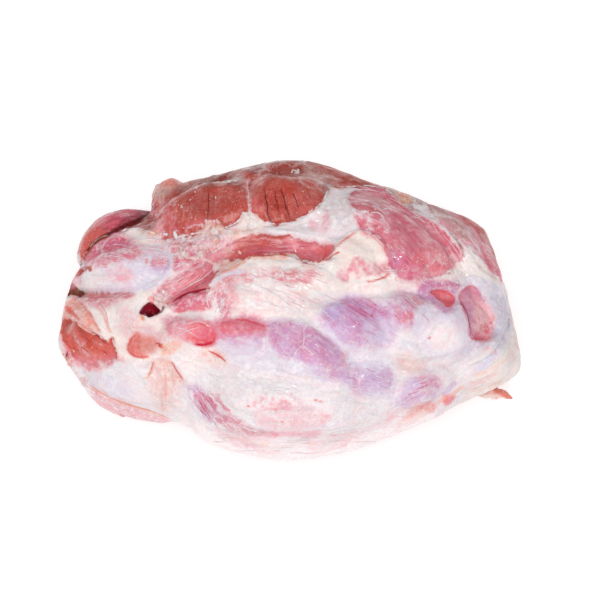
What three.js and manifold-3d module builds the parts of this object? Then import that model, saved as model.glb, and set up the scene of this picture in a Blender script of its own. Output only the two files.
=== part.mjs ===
// Beef shoulder clod: the large boneless muscle group of the shoulder, raw and trimmed. Its muscles are
// still joined by their membranes, tendons and seams of fat, so it is one solid. It lies on its flat side,
// membrane face up. Millimetres, +Z up, +X towards the thick end, origin in the middle of the flat side.
import * as THREE from "three";
import { mergeVertices } from "three/addons/utils/BufferGeometryUtils.js";
import Module from "manifold-3d";

const wasm = await Module();
wasm.setup();
const { clamp, degToRad, lerp, smoothstep } = THREE.MathUtils;

// Driving dimensions
const HALF_LENGTH = 190;
const HALF_WIDTH = 134;
const HALF_HEIGHT = 72;
const MIDDLE_HEIGHT = 50; // the widest level above the table
const FULLNESS = 2.2; // 2 gives an ellipsoid's cross-section, and more a boxier one
const THICK_END_TAPER = 0.2; // share of the height lost towards each end
const THIN_END_TAPER = 0.32;
const SAG = 8; // height over which the meat rounds into its flat side
const FACE_TILT = degToRad(65); // the membrane face is laid out as seen from this steep a view
const DETAIL = 21; // steps along each edge of the icosahedron that the body is blown up from
const FACE_SHARE = 0.44; // draws the mesh's vertices towards the membrane face
const WELD = 1e-4; // vertices of the unit ball closer than this are one

// A square-on view of one side: where its right, its up and the viewer lie.
function side(right, up) {
  const x = new THREE.Vector3(...right).normalize();
  const y = new THREE.Vector3(...up).normalize();
  return { right: x, up: y, viewer: new THREE.Vector3().crossVectors(x, y) };
}
const FACE = side([1, 0, 0], [0, Math.sin(FACE_TILT), Math.cos(FACE_TILT)]);
const BACK = side([-1, 0, 0], [0, 0, 1]);
const FRONT = side([1, 0, 0], [0, 0, 1]);
const THICK_END = side([0, 1, 0], [0, 0, 1]);
const THIN_END = side([0, -1, 0], [0, 0, 1]);

// The rim as the face's view shows it, across and up from the middle. It runs clockwise from the top:
// back edge, thick end, front edge, thin end.
const RIM = [
  [0, 125], [31, 121], [79, 102], [120, 87], [160, 71], [172, 52], [184, 6], [192, -38], [186, -58],
  [150, -76], [100, -100], [50, -118], [-7, -125], [-60, -114], [-84, -98], [-103, -91], [-135, -88],
  [-160, -79], [-187, -38], [-189, -12], [-177, 30], [-142, 62], [-122, 76], [-110, 92], [-92, 105],
  [-66, 111], [-32, 120],
];
const RIM_STEPS = 720;

// Muscle bellies: [view, across, up, half length, half width, turn in degrees, rise]
const BELLIES = [
  [FACE, -70, 88, 52, 38, 8, 11], // two brown bellies along the back edge
  [FACE, 0, 95, 40, 36, 0, 12],
  [FACE, 86, 60, 68, 36, -34, 13], // long belly running down to the thick end
  [FACE, 150, 52, 46, 20, -54, 7], // slab along the back of the thick end
  [FACE, -142, 36, 44, 24, -6, 14], // rounded lobe of the thin end
  [FACE, -160, -18, 38, 34, 10, 9],
  [FACE, -20, 20, 66, 24, 6, 8], // membrane flap in the middle
  [FACE, 52, 45, 34, 22, 5, 9], // fat pad
  [FACE, -84, -18, 25, 15, 0, 6], // row of small bellies in front of the flap
  [FACE, -40, -22, 27, 17, 0, 8],
  [FACE, 16, -34, 42, 28, -28, 9],
  [FACE, 47, -12, 36, 24, -10, 10], // two lilac bellies
  [FACE, 98, -1, 30, 20, 5, 8],
  [FACE, 134, -18, 28, 34, 10, 13], // round end of the joint tendon
  [FACE, -126, -58, 54, 34, -20, 7],
  [FACE, 0, -88, 74, 34, 4, 11], // broad belly of the front edge
  [FACE, 60, -62, 42, 17, -6, 6],
  [FACE, 112, -66, 30, 17, 20, 8],
  [FACE, 168, -46, 30, 26, 40, 7],
  [BACK, -84, 2, 60, 40, 8, 9],
  [BACK, 10, 6, 56, 44, -6, 8],
  [BACK, 92, -14, 44, 34, 10, 9],
  [BACK, -20, -38, 80, 18, 0, 6],
  [FRONT, 10, -26, 78, 24, 0, 8],
  [FRONT, 104, -16, 46, 32, -8, 8],
  [FRONT, -112, -20, 46, 28, 6, 9],
  [THICK_END, 34, -4, 34, 36, 0, 8],
  [THICK_END, -34, -14, 36, 30, 0, 8],
  [THIN_END, 30, -12, 34, 26, 0, 8],
  [THIN_END, -40, -10, 34, 30, 0, 7],
];
const MEAN_RISE = 5; // the bellies rise about the plain body instead of all standing out from it
const RIM_BAND = 0.4; // how near edge-on, as a cosine, the relief fades so that the rim keeps its outline
const BELLY_DEPTH = 0.8; // how far a belly reaches into the body, as a share of its longer half
const CREASE = 3; // how softly two bellies meet

// Grooves and low strips of the face: [points across and up, half width, depth]
const GROOVES = [
  [[[-186, 14], [-150, 15], [-112, 17]], 12, 12], // cleft under the rounded lobe
  [[[-110, -4], [-84, 14], [-62, 36], [-36, 50], [-6, 54], [24, 49], [40, 52]], 15, 11], // bare strip
  [[[-120, 56], [-86, 62], [-52, 70], [-6, 73], [32, 72]], 11, 5], // fat seam below the brown bellies
  [[[30, 108], [38, 84], [62, 50], [98, 26], [122, 16]], 10, 6],
  [[[-66, -4], [-20, -6], [24, -4], [46, -34], [78, -50]], 12, 3],
  [[[20, 0], [60, 14], [110, 18]], 9, 4],
  [[[-86, -76], [-66, -98], [-24, -108], [36, -106], [84, -94]], 9, 5], // inside the front edge
  [[[-128, -36], [-96, -52], [-86, -86]], 10, 5],
  [[[84, -44], [120, -52], [160, -34], [176, -8]], 10, 5],
];

// Edges where one layer lies over the next: [points, step, how far the upper layer stays raised]. The
// upper layer is on the left of the points' direction.
const LAYER_EDGES = [
  [[[44, 32], [26, 37], [2, 43], [-22, 45], [-40, 43], [-56, 37], [-70, 30], [-82, 20], [-84, 8]], 6, 24],
  [[[86, 52], [72, 64], [52, 64], [38, 55], [28, 48]], 4, 18],
  [[[36, 104], [66, 106], [96, 102], [118, 86], [140, 60], [156, 32], [164, 14]], 5, 16],
  [[[-112, -90], [-140, -78], [-162, -58], [-176, -36]], 5, 22],
];
const LAYER_LIP = 8; // width of a layer's edge

// Openings torn or cut in the membrane: [outline, depth]
const WINDOWS = [
  [[[-126, -4], [-120, 4], [-110, 2], [-102, 0], [-109, -11], [-120, -11]], 11],
  [[[144, 18], [152, 20], [158, 8], [168, -2], [170, -18], [162, -28], [154, -26], [150, -8]], 8],
  [[[116, 8], [128, 8], [138, 0], [134, -6], [126, -4]], 5],
  [[[-188, -12], [-172, -16], [-158, -26], [-146, -24], [-142, -44], [-162, -52], [-182, -36]], 4],
  [[[-134, -24], [-124, -18], [-112, -24], [-112, -38], [-124, -42], [-134, -34]], 4],
];
const WINDOW_EDGE = 8; // width over which an opening's floor rises to its edge
const LINE_STEPS = 44;

// Shallow waves all over: [rise, wave length, direction, start]
const WAVES = [
  [1.3, 74, [1, 0.35, 0.2], 0.4],
  [1.1, 58, [-0.4, 1, 0.3], 1.9],
  [0.9, 43, [0.5, -0.7, 0.8], 3.1],
  [0.7, 31, [0.8, 0.6, -0.6], 5.2],
];

// Ellipsoids that stand out of the body, placed from its middle: the end of a muscle behind the thin end,
// and a ridge of fat at the back corner
const LUMPS = [
  { at: [-137, 61, -12], half: [42, 34, 29], turn: 17 },
  { at: [-97, 105, -2], half: [19, 17, 27], turn: 40 },
];
const LUMP_BLEND = 8; // how softly a lump grows out of the body

// A loose tag of meat that hangs out under the thick end
const TAG = { at: [165, -61, 22], half: [22, 6, 5], turn: -24, tilt: 8, droop: 0.5, detail: 4 };

// How much wider the body is than its rim looks from the face's tilted view.
const DUAL = FULLNESS / (FULLNESS - 1);
const SEEN_WIDTH =
  ((HALF_WIDTH * Math.sin(FACE_TILT)) ** DUAL + (HALF_HEIGHT * Math.cos(FACE_TILT)) ** DUAL) ** (1 / DUAL);
const UNTILT = HALF_WIDTH / SEEN_WIDTH;

function smoothLine(points, closed, steps) {
  const knots = points.map(([x, y]) => new THREE.Vector3(x, y, 0));
  return new THREE.CatmullRomCurve3(knots, closed, "catmullrom").getPoints(steps);
}

// Distance from the middle to the rim in plan, for each angle.
const rimRadius = (() => {
  const plan = RIM.map(([across, up]) => [across, up * UNTILT]);
  const polar = smoothLine(plan, true, RIM_STEPS).map((p) => [Math.atan2(p.y, p.x), Math.hypot(p.x, p.y)]);
  polar.sort((a, b) => a[0] - b[0]);
  return (angle) => {
    let low = 0;
    let high = polar.length - 1;
    if (angle <= polar[low][0] || angle >= polar[high][0]) return polar[low][1];
    while (high - low > 1) {
      const mid = (low + high) >> 1;
      if (polar[mid][0] <= angle) low = mid;
      else high = mid;
    }
    const share = (angle - polar[low][0]) / (polar[high][0] - polar[low][0]);
    return lerp(polar[low][1], polar[high][1], share);
  };
})();

// Below 1 inside the plain body, 1 on its surface and above 1 outside.
function fill(p) {
  const across = Math.hypot(p.x, p.y) / rimRadius(Math.atan2(p.y, p.x));
  const along = (p.x / HALF_LENGTH) ** 2;
  const whole = along + (p.y / HALF_WIDTH) ** 2 + (p.z / HALF_HEIGHT) ** 2;
  const endwise = whole > 0 ? along / whole : 0;
  const height = HALF_HEIGHT * (1 - (p.x > 0 ? THICK_END_TAPER : THIN_END_TAPER) * endwise);
  return (across ** FULLNESS + (Math.abs(p.z) / height) ** FULLNESS) ** (1 / FULLNESS);
}

const AXES = [new THREE.Vector3(1, 0, 0), new THREE.Vector3(0, 1, 0), new THREE.Vector3(0, 0, 1)];
const SLOPE_STEP = 2;

function normalAt(p) {
  const ahead = (axis, step) => fill(p.clone().addScaledVector(axis, step));
  const slopes = AXES.map((axis) => ahead(axis, SLOPE_STEP) - ahead(axis, -SLOPE_STEP));
  return new THREE.Vector3(...slopes).normalize();
}

// The point of the plain body that a side's view shows at some distance across and up.
function onBody(view, across, up) {
  const at = (depth) =>
    new THREE.Vector3()
      .addScaledVector(view.right, across)
      .addScaledVector(view.up, up)
      .addScaledVector(view.viewer, depth);
  let inside = 0;
  let outside = 2 * HALF_LENGTH;
  while (outside - inside > WELD) {
    const mid = (inside + outside) / 2;
    if (fill(at(mid)) < 1) inside = mid;
    else outside = mid;
  }
  return at(inside);
}

const bellies = BELLIES.map(([view, across, up, half, wide, turn, rise]) => {
  const at = onBody(view, across, up);
  const out = normalAt(at);
  const along = view.right.clone().addScaledVector(out, -view.right.dot(out)).normalize();
  along.applyAxisAngle(out, degToRad(turn));
  return { at, out, along, over: new THREE.Vector3().crossVectors(out, along), half, wide, rise };
});

// The larger of two heights, with the corner between them rounded over a width.
function roundedMax(a, b, width) {
  const share = clamp((1 + (a - b) / width) / 2, 0, 1);
  return lerp(b, a, share) + width * share * (1 - share);
}

function bellyRise(p) {
  let height = 0;
  const q = new THREE.Vector3();
  for (const m of bellies) {
    q.subVectors(p, m.at);
    const depth = Math.max(m.half, m.wide) * BELLY_DEPTH;
    const away = (q.dot(m.along) / m.half) ** 2 + (q.dot(m.over) / m.wide) ** 2 + (q.dot(m.out) / depth) ** 2;
    height = roundedMax(height, m.rise * (1 - away), CREASE);
  }
  return height;
}

function waveRise(p) {
  return WAVES.reduce((sum, [rise, length, direction, start]) => {
    const way = new THREE.Vector3(...direction).normalize();
    return sum + rise * Math.sin((2 * Math.PI * p.dot(way)) / length + start);
  }, 0);
}

// For each lump, the change from the body's space to one where the lump is a unit ball.
const toUnitBall = LUMPS.map(({ at, half, turn }) => {
  const fromUnitBall = new THREE.Matrix4().makeRotationZ(degToRad(turn)).scale(new THREE.Vector3(...half));
  return fromUnitBall.setPosition(...at).invert();
});

// Raises a height to where the normal at a point leaves the lumps that it passes through.
function overLumps(p, out, height) {
  return toUnitBall.reduce((raised, unit) => {
    const q = p.clone().applyMatrix4(unit);
    const way = p.clone().add(out).applyMatrix4(unit).sub(q);
    const a = way.lengthSq();
    const b = q.dot(way);
    const crossing = b * b - a * (q.lengthSq() - 1);
    return crossing > 0 ? roundedMax(raised, (Math.sqrt(crossing) - b) / a, LUMP_BLEND) : raised;
  }, height);
}

// Nearest spot on a line: how far off it is, which side it lies on (1 left, -1 right), and how far along.
function nearest(line, x, y) {
  let best = { off: Infinity, hand: 1, along: 0 };
  for (let i = 0; i + 1 < line.length; i++) {
    const [a, b] = [line[i], line[i + 1]];
    const [dx, dy] = [b.x - a.x, b.y - a.y];
    const t = clamp(((x - a.x) * dx + (y - a.y) * dy) / (dx * dx + dy * dy), 0, 1);
    const off = Math.hypot(x - a.x - t * dx, y - a.y - t * dy);
    if (off < best.off) {
      const hand = dx * (y - a.y) - dy * (x - a.x) > 0 ? 1 : -1;
      best = { off, hand, along: (i + t) / (line.length - 1) };
    }
  }
  return best;
}

function contains(outline, x, y) {
  let inside = false;
  for (let i = 0, j = outline.length - 1; i < outline.length; j = i++) {
    const [a, b] = [outline[i], outline[j]];
    if (a.y > y !== b.y > y && x < ((b.x - a.x) * (y - a.y)) / (b.y - a.y) + a.x) inside = !inside;
  }
  return inside;
}

const openLine = (points) => smoothLine(points, false, LINE_STEPS);
const grooves = GROOVES.map(([points, half, depth]) => ({ line: openLine(points), half, depth }));
const edges = LAYER_EDGES.map(([points, step, reach]) => ({ line: openLine(points), step, reach }));
const windows = WINDOWS.map(([points, depth]) => ({ line: smoothLine(points, true, LINE_STEPS), depth }));

// A line's effect comes in and goes out over its first and last tenth.
function endFade(along) {
  return smoothstep(Math.min(along, 1 - along), 0, 0.1);
}

// Height of the grooves, layers and openings laid out on the membrane face.
function faceRise(p) {
  const x = p.dot(FACE.right);
  const y = p.dot(FACE.up);
  let height = 0;
  for (const { line, half, depth } of grooves) {
    const { off, along } = nearest(line, x, y);
    if (off < half) height -= depth * endFade(along) * (1 - (off / half) ** 2) ** 1.5;
  }
  for (const { line, step, reach } of edges) {
    const { off, hand, along } = nearest(line, x, y);
    const raised = smoothstep(off * hand, -LAYER_LIP / 2, LAYER_LIP / 2);
    height += step * endFade(along) * raised * Math.exp(-((off / reach) ** 2));
  }
  for (const { line, depth } of windows) {
    const within = nearest(line, x, y).off * (contains(line, x, y) ? 1 : -1);
    height -= depth * smoothstep(within, -WINDOW_EDGE / 2, WINDOW_EDGE);
  }
  return height;
}

function toSolid(geometry) {
  const mesh = new wasm.Mesh({
    numProp: 3,
    vertProperties: new Float32Array(geometry.getAttribute("position").array),
    triVerts: new Uint32Array(geometry.index.array),
  });
  return new wasm.Manifold(mesh);
}

function ball(detail) {
  const geometry = new THREE.IcosahedronGeometry(1, detail);
  geometry.deleteAttribute("normal");
  geometry.deleteAttribute("uv");
  return mergeVertices(geometry, WELD);
}

function body() {
  const geometry = ball(DETAIL);
  const position = geometry.getAttribute("position");
  const p = new THREE.Vector3();
  for (let i = 0; i < position.count; i++) {
    p.fromBufferAttribute(position, i).addScaledVector(FACE.viewer, FACE_SHARE);
    p.set(p.x * HALF_LENGTH, p.y * HALF_WIDTH, p.z * HALF_HEIGHT);
    p.divideScalar(fill(p));
    const out = normalAt(p);
    const facing = out.dot(FACE.viewer);
    const onFace = facing > 0 ? faceRise(p) : 0;
    const inRim = smoothstep(Math.abs(facing), 0, RIM_BAND);
    const relief = inRim * (bellyRise(p) - MEAN_RISE + waveRise(p) + onFace);
    p.addScaledVector(out, overLumps(p, out, relief));
    p.z = roundedMax(p.z + MIDDLE_HEIGHT, 0, SAG);
    position.setXYZ(i, p.x, p.y, p.z);
  }
  return toSolid(geometry);
}

function tag({ at, half, turn, tilt, droop, detail }) {
  const geometry = ball(detail);
  const position = geometry.getAttribute("position");
  const p = new THREE.Vector3();
  for (let i = 0; i < position.count; i++) {
    p.fromBufferAttribute(position, i);
    position.setXYZ(i, p.x * half[0], p.y * half[1], (p.z - droop * p.x * p.x) * half[2]);
  }
  geometry.rotateY(degToRad(tilt));
  geometry.rotateZ(degToRad(turn));
  geometry.translate(...at);
  return toSolid(geometry);
}

function toGeometry(solid) {
  const mesh = solid.getMesh();
  const geometry = new THREE.BufferGeometry();
  geometry.setAttribute("position", new THREE.BufferAttribute(mesh.vertProperties, 3));
  geometry.setIndex(new THREE.BufferAttribute(mesh.triVerts, 1));
  return geometry;
}

const clod = new THREE.Mesh(
  toGeometry(body().add(tag(TAG))),
  new THREE.MeshStandardMaterial({ color: 0xd9a8ae, roughness: 0.4, metalness: 0 }),
);
clod.name = "clod";

const group = new THREE.Group();
group.add(clod);
export default group;
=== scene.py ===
import math

import bpy
import numpy as np
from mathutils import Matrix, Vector
from mathutils.bvhtree import BVHTree


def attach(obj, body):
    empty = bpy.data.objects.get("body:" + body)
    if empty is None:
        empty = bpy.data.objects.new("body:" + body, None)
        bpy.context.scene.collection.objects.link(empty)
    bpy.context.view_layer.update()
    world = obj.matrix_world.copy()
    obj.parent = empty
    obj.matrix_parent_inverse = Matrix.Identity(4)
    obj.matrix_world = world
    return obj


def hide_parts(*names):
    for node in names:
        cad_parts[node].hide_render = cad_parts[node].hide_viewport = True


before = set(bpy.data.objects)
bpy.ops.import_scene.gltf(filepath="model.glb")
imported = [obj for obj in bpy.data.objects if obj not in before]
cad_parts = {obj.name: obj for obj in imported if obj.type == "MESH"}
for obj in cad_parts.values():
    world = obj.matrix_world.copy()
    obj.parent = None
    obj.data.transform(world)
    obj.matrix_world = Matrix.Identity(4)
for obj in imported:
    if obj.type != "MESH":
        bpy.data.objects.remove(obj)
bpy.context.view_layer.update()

# THE MEAT'S FORM
# The whole clod is one lump of joined muscles, so it is one closed skin, worked out in millimetres. Its body,
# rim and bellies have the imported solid's places and sizes. Its grooves, edges, openings and lumps follow the
# solid's and are drawn finer, with folds and wrinkles added.
HALF_LENGTH, HALF_WIDTH, HALF_HEIGHT = 190, 134, 72
MIDDLE_HEIGHT = 50
FULLNESS = 2.2
THICK_END_TAPER, THIN_END_TAPER = 0.2, 0.32
SAG = 8
FACE_TILT = math.radians(65)
CAMERA_AWAY = 4000
AIM = np.array([7.9, 8.8])  # the picture's middle, across and up from the body's


def side(right, up):
    """A square-on view of one side: its right, its up and the way to the viewer."""
    right, up = (np.array(v, float) / np.linalg.norm(v) for v in (right, up))
    return right, up, np.cross(right, up)


FACE = side((1, 0, 0), (0, math.sin(FACE_TILT), math.cos(FACE_TILT)))
BACK = side((-1, 0, 0), (0, 0, 1))
FRONT = side((1, 0, 0), (0, 0, 1))
THICK_END = side((0, 1, 0), (0, 0, 1))
THIN_END = side((0, -1, 0), (0, 0, 1))

RIM = [
    (0, 125), (31, 121), (79, 102), (120, 87), (160, 71), (172, 52), (184, 6), (192, -38), (186, -58),
    (150, -76), (100, -100), (50, -118), (-7, -125), (-60, -114), (-84, -98), (-103, -91), (-135, -88),
    (-160, -79), (-187, -38), (-189, -12), (-177, 30), (-142, 62), (-122, 76), (-110, 92), (-92, 105),
    (-66, 111), (-32, 120),
]


def smooth_line(points, closed=False, per_knot=10):
    """A smooth curve through the points."""
    k = np.array(points, float)
    if closed:
        k = np.vstack([k[-1], k, k[0], k[1]])
    else:
        k = np.vstack([2 * k[0] - k[1], k, 2 * k[-1] - k[-2]])
    t = np.linspace(0, 1, per_knot, endpoint=False)[:, None]
    runs = []
    for a, b, c, d in zip(k, k[1:], k[2:], k[3:]):
        bend, swing = 2 * a - 5 * b + 4 * c - d, 3 * b - a - 3 * c + d
        runs.append((2 * b + (c - a) * t + bend * t**2 + swing * t**3) / 2)
    return np.vstack(runs + [k[-2][None]])


DUAL = FULLNESS / (FULLNESS - 1)
seen_width = ((HALF_WIDTH * FACE[1][1]) ** DUAL + (HALF_HEIGHT * FACE[1][2]) ** DUAL) ** (1 / DUAL)
rim = smooth_line([(u, v * HALF_WIDTH / seen_width) for u, v in RIM], True, 27)
rim_angle, rim_radius = np.arctan2(rim[:, 1], rim[:, 0]), np.hypot(rim[:, 0], rim[:, 1])
rim_order = np.argsort(rim_angle)


def fill(p):
    """Below 1 inside the plain body, 1 on its skin and above 1 outside."""
    x, y, z = p.T
    reach = np.interp(np.arctan2(y, x), rim_angle[rim_order], rim_radius[rim_order], period=2 * math.pi)
    whole = (x / HALF_LENGTH) ** 2 + (y / HALF_WIDTH) ** 2 + (z / HALF_HEIGHT) ** 2
    endwise = (x / HALF_LENGTH) ** 2 / np.maximum(whole, 1e-9)
    height = HALF_HEIGHT * (1 - np.where(x > 0, THICK_END_TAPER, THIN_END_TAPER) * endwise)
    return ((np.hypot(x, y) / reach) ** FULLNESS + (np.abs(z) / height) ** FULLNESS) ** (1 / FULLNESS)


def skin_normal(p):
    slope = np.stack([fill(p + step) - fill(p - step) for step in 2 * np.eye(3)], axis=1)
    return slope / np.linalg.norm(slope, axis=1)[:, None]


def on_body(view, across, up):
    """The point of the plain body that a side's view shows at some distance across and up."""
    near, far = 0, 2 * HALF_LENGTH
    for _ in range(24):
        middle = (near + far) / 2
        spot = across * view[0] + up * view[1] + middle * view[2]
        near, far = (middle, far) if fill(spot[None])[0] < 1 else (near, middle)
    return spot[None]


def smooth(x, low, high):
    t = np.clip((x - low) / (high - low), 0, 1)
    return t * t * (3 - 2 * t)


def rounded_max(a, b, width):
    share = np.clip((1 + (a - b) / width) / 2, 0, 1)
    return b + (a - b) * share + width * share * (1 - share)


NOISE_TABLE = np.random.default_rng(7).permutation(256)
HALF_TABLE = 127.5
NOISE_SHIFT = 31.7  # how far each seed's pattern is moved on


def noise(p, size, seed=0):
    """Smooth random heights from -1 to 1, with bumps of about that size in millimetres."""
    q = p / size + NOISE_SHIFT * (seed + 1)
    cell = np.floor(q).astype(int)
    f = q - cell
    f = f**3 * (f * (6 * f - 15) + 10)
    total = 0
    for corner in np.ndindex(2, 2, 2):
        i, j, k = (cell + corner).T & 255
        value = NOISE_TABLE[(NOISE_TABLE[(NOISE_TABLE[i] + j) & 255] + k) & 255] / HALF_TABLE - 1
        weight = np.prod(np.where(corner, f, 1 - f), axis=1)
        total = total + weight * value
    return total


def noises(p, *parts):
    """Several noises in one, with the size, weight and seed of each."""
    return sum(noise(p, size, seed) * weight for size, weight, seed in parts)


# The muscles' bellies: view, across, up, half length, half width, turn in degrees, rise
BELLIES = [
    (FACE, -70, 88, 52, 38, 8, 11), (FACE, 0, 95, 40, 36, 0, 12), (FACE, 86, 60, 68, 36, -34, 13),
    (FACE, 150, 52, 46, 20, -54, 7), (FACE, -142, 36, 44, 24, -6, 14), (FACE, -160, -18, 38, 34, 10, 9),
    (FACE, -20, 20, 66, 24, 6, 8), (FACE, 52, 45, 34, 22, 5, 9), (FACE, -84, -18, 25, 15, 0, 6),
    (FACE, -40, -22, 27, 17, 0, 8), (FACE, 16, -34, 42, 28, -28, 9), (FACE, 47, -12, 36, 24, -10, 10),
    (FACE, 98, -1, 30, 20, 5, 8), (FACE, 134, -18, 28, 34, 10, 13), (FACE, -126, -58, 54, 34, -20, 7),
    (FACE, 0, -88, 74, 34, 4, 11), (FACE, 60, -62, 42, 17, -6, 6), (FACE, 112, -66, 30, 17, 20, 8),
    (FACE, 168, -46, 30, 26, 40, 7), (BACK, -84, 2, 60, 40, 8, 9), (BACK, 10, 6, 56, 44, -6, 8),
    (BACK, 92, -14, 44, 34, 10, 9), (BACK, -20, -38, 80, 18, 0, 6), (FRONT, 10, -26, 78, 24, 0, 8),
    (FRONT, 104, -16, 46, 32, -8, 8), (FRONT, -112, -20, 46, 28, 6, 9), (THICK_END, 34, -4, 34, 36, 0, 8),
    (THICK_END, -34, -14, 36, 30, 0, 8), (THIN_END, 30, -12, 34, 26, 0, 8),
    (THIN_END, -40, -10, 34, 30, 0, 7),
]
MEAN_RISE, RIM_BAND, BELLY_DEPTH, CREASE = 5, 0.4, 0.8, 2
WAVES = [
    (1.3, 74, (1, 0.35, 0.2), 0.4), (1.1, 58, (-0.4, 1, 0.3), 1.9),
    (0.9, 43, (0.5, -0.7, 0.8), 3.1), (0.7, 31, (0.8, 0.6, -0.6), 5.2),
]
LUMPS = [
    ((-137, 61, -12), (42, 34, 29), 17), ((-98, 98, -1), (17, 18, 25), 20), ((-97, 107, 2), (8, 8, 19), 0),
]
LUMP_BLEND = 8


def belly_rise(p):
    height = np.zeros(len(p))
    for view, across, up, half, wide, turn, rise in BELLIES:
        at = on_body(view, across, up)
        out = skin_normal(at)[0]
        flat = view[0] - out * (view[0] @ out)
        flat /= np.linalg.norm(flat)
        along = flat * math.cos(math.radians(turn)) + np.cross(out, flat) * math.sin(math.radians(turn))
        q = p - at
        deep = max(half, wide) * BELLY_DEPTH
        away = (q @ along / half) ** 2 + (q @ np.cross(out, along) / wide) ** 2 + (q @ out / deep) ** 2
        height = rounded_max(height, rise * (1 - away), CREASE)
    return height


def over_lumps(p, out, height):
    """Raises a height to where the normal at a point leaves the lumps behind the thin end."""
    for at, half, turn in LUMPS:
        c, s = math.cos(math.radians(turn)), math.sin(math.radians(turn))
        to_ball = np.array([[c, s, 0], [-s, c, 0], [0, 0, 1]]) / np.array(half)[:, None]
        q, way = (p - at) @ to_ball.T, out @ to_ball.T
        a, b = (way**2).sum(1), (q * way).sum(1)
        crossing = b * b - a * ((q**2).sum(1) - 1)
        lump = (np.sqrt(np.maximum(crossing, 0)) - b) / a
        height = np.where(crossing > 0, rounded_max(height, lump, LUMP_BLEND), height)
    return height


def nearest(spots, line):
    """For each spot, its distance to a line, the side it lies on (1 is left) and how far along it is."""
    off, hand, along = np.full(len(spots), 1e9), np.ones(len(spots)), np.zeros(len(spots))
    for i, (a, b) in enumerate(zip(line, line[1:])):
        d = b - a
        q = spots - a
        t = np.clip(q @ d / (d @ d), 0, 1)
        e = q - t[:, None] * d
        distance = np.hypot(e[:, 0], e[:, 1])
        closer = distance < off
        off = np.where(closer, distance, off)
        hand = np.where(closer, np.sign(d[0] * q[:, 1] - d[1] * q[:, 0]), hand)
        along = np.where(closer, (i + t) / (len(line) - 1), along)
    return off, hand, along


def depth_within(spots, outline):
    """How deep each spot lies inside a closed outline, below 0 outside."""
    off = nearest(spots, outline)[0]
    inside = np.zeros(len(spots), bool)
    for a, b in zip(outline, outline[1:]):
        crosses = (a[1] > spots[:, 1]) != (b[1] > spots[:, 1])
        slope = (b[0] - a[0]) / (b[1] - a[1] if b[1] != a[1] else 1e-9)
        inside ^= crosses & (spots[:, 0] < slope * (spots[:, 1] - a[1]) + a[0])
    return np.where(inside, off, -off)


def as_seen(p):
    """Millimetres across and up at which the camera sees a point, and its height towards the camera."""
    u, v, height = p @ FACE[0], p @ FACE[1], p @ FACE[2]
    grow = CAMERA_AWAY / (CAMERA_AWAY - height)
    return np.stack([(u - AIM[0]) * grow + AIM[0], (v - AIM[1]) * grow + AIM[1]], axis=1)


# Grooves of the face: points across and up, half width, depth
GROOVES = [
    ([(-192, 12), (-172, 12.5), (-150, 12.5), (-128, 13)], 4.5, 4.5),
    ([(-112, 4), (-96, 16), (-76, 28), (-58, 44), (-36, 52), (-6, 53), (24, 48), (38, 49)], 12, 8),
    ([(-120, 60), (-86, 62), (-52, 70), (-6, 73), (32, 74)], 10, 4),
    ([(30, 108), (36, 96), (44, 80), (50, 66)], 7, 2),
    ([(-66, -6), (-20, -8), (18, -10), (46, -34), (58, -52)], 8, 1.6),
    ([(20, 4), (60, 12), (110, 16)], 7, 3),
    ([(-86, -72), (-60, -94), (-24, -106), (36, -106), (84, -96)], 7, 3),
    ([(-128, -44), (-96, -52), (-84, -88)], 7, 3),
    ([(84, -44), (120, -48), (156, -34), (176, -8)], 8, 4),
    ([(-176, 50), (-158, 59), (-140, 66), (-128, 73), (-116, 80)], 4, 8),
    ([(-33, 110), (-33, 96), (-32, 78)], 2.6, 1.0),
    ([(-20, 99), (-18, 89), (-17, 80), (-14, 71)], 1.8, 1.8),
    ([(-5.5, 101), (-3, 91), (-1, 82), (2, 73)], 1.8, 1.8),
    ([(4, 98), (6, 89), (9, 80)], 1.8, 1.2),
    ([(-11, 96), (-9, 85), (-7, 73)], 1.6, 1.0),
    ([(-98, 2), (-90, 9), (-82, 13), (-72, 15), (-63, 17)], 3.2, 3.5),
    ([(-64, -36), (-58, -40), (-51, -45)], 2.2, 0.7),
    ([(-77, -30), (-70, -31), (-63, -29)], 2.0, 2.0),
    ([(150, 52), (156, 43), (164, 34)], 3, 1.5),
    ([(-110, -50), (-100, -62), (-101, -88)], 4, 1.5),
    ([(160, -30), (174, -18), (178, 0), (172, 14)], 5, 1.5),
]
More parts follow.
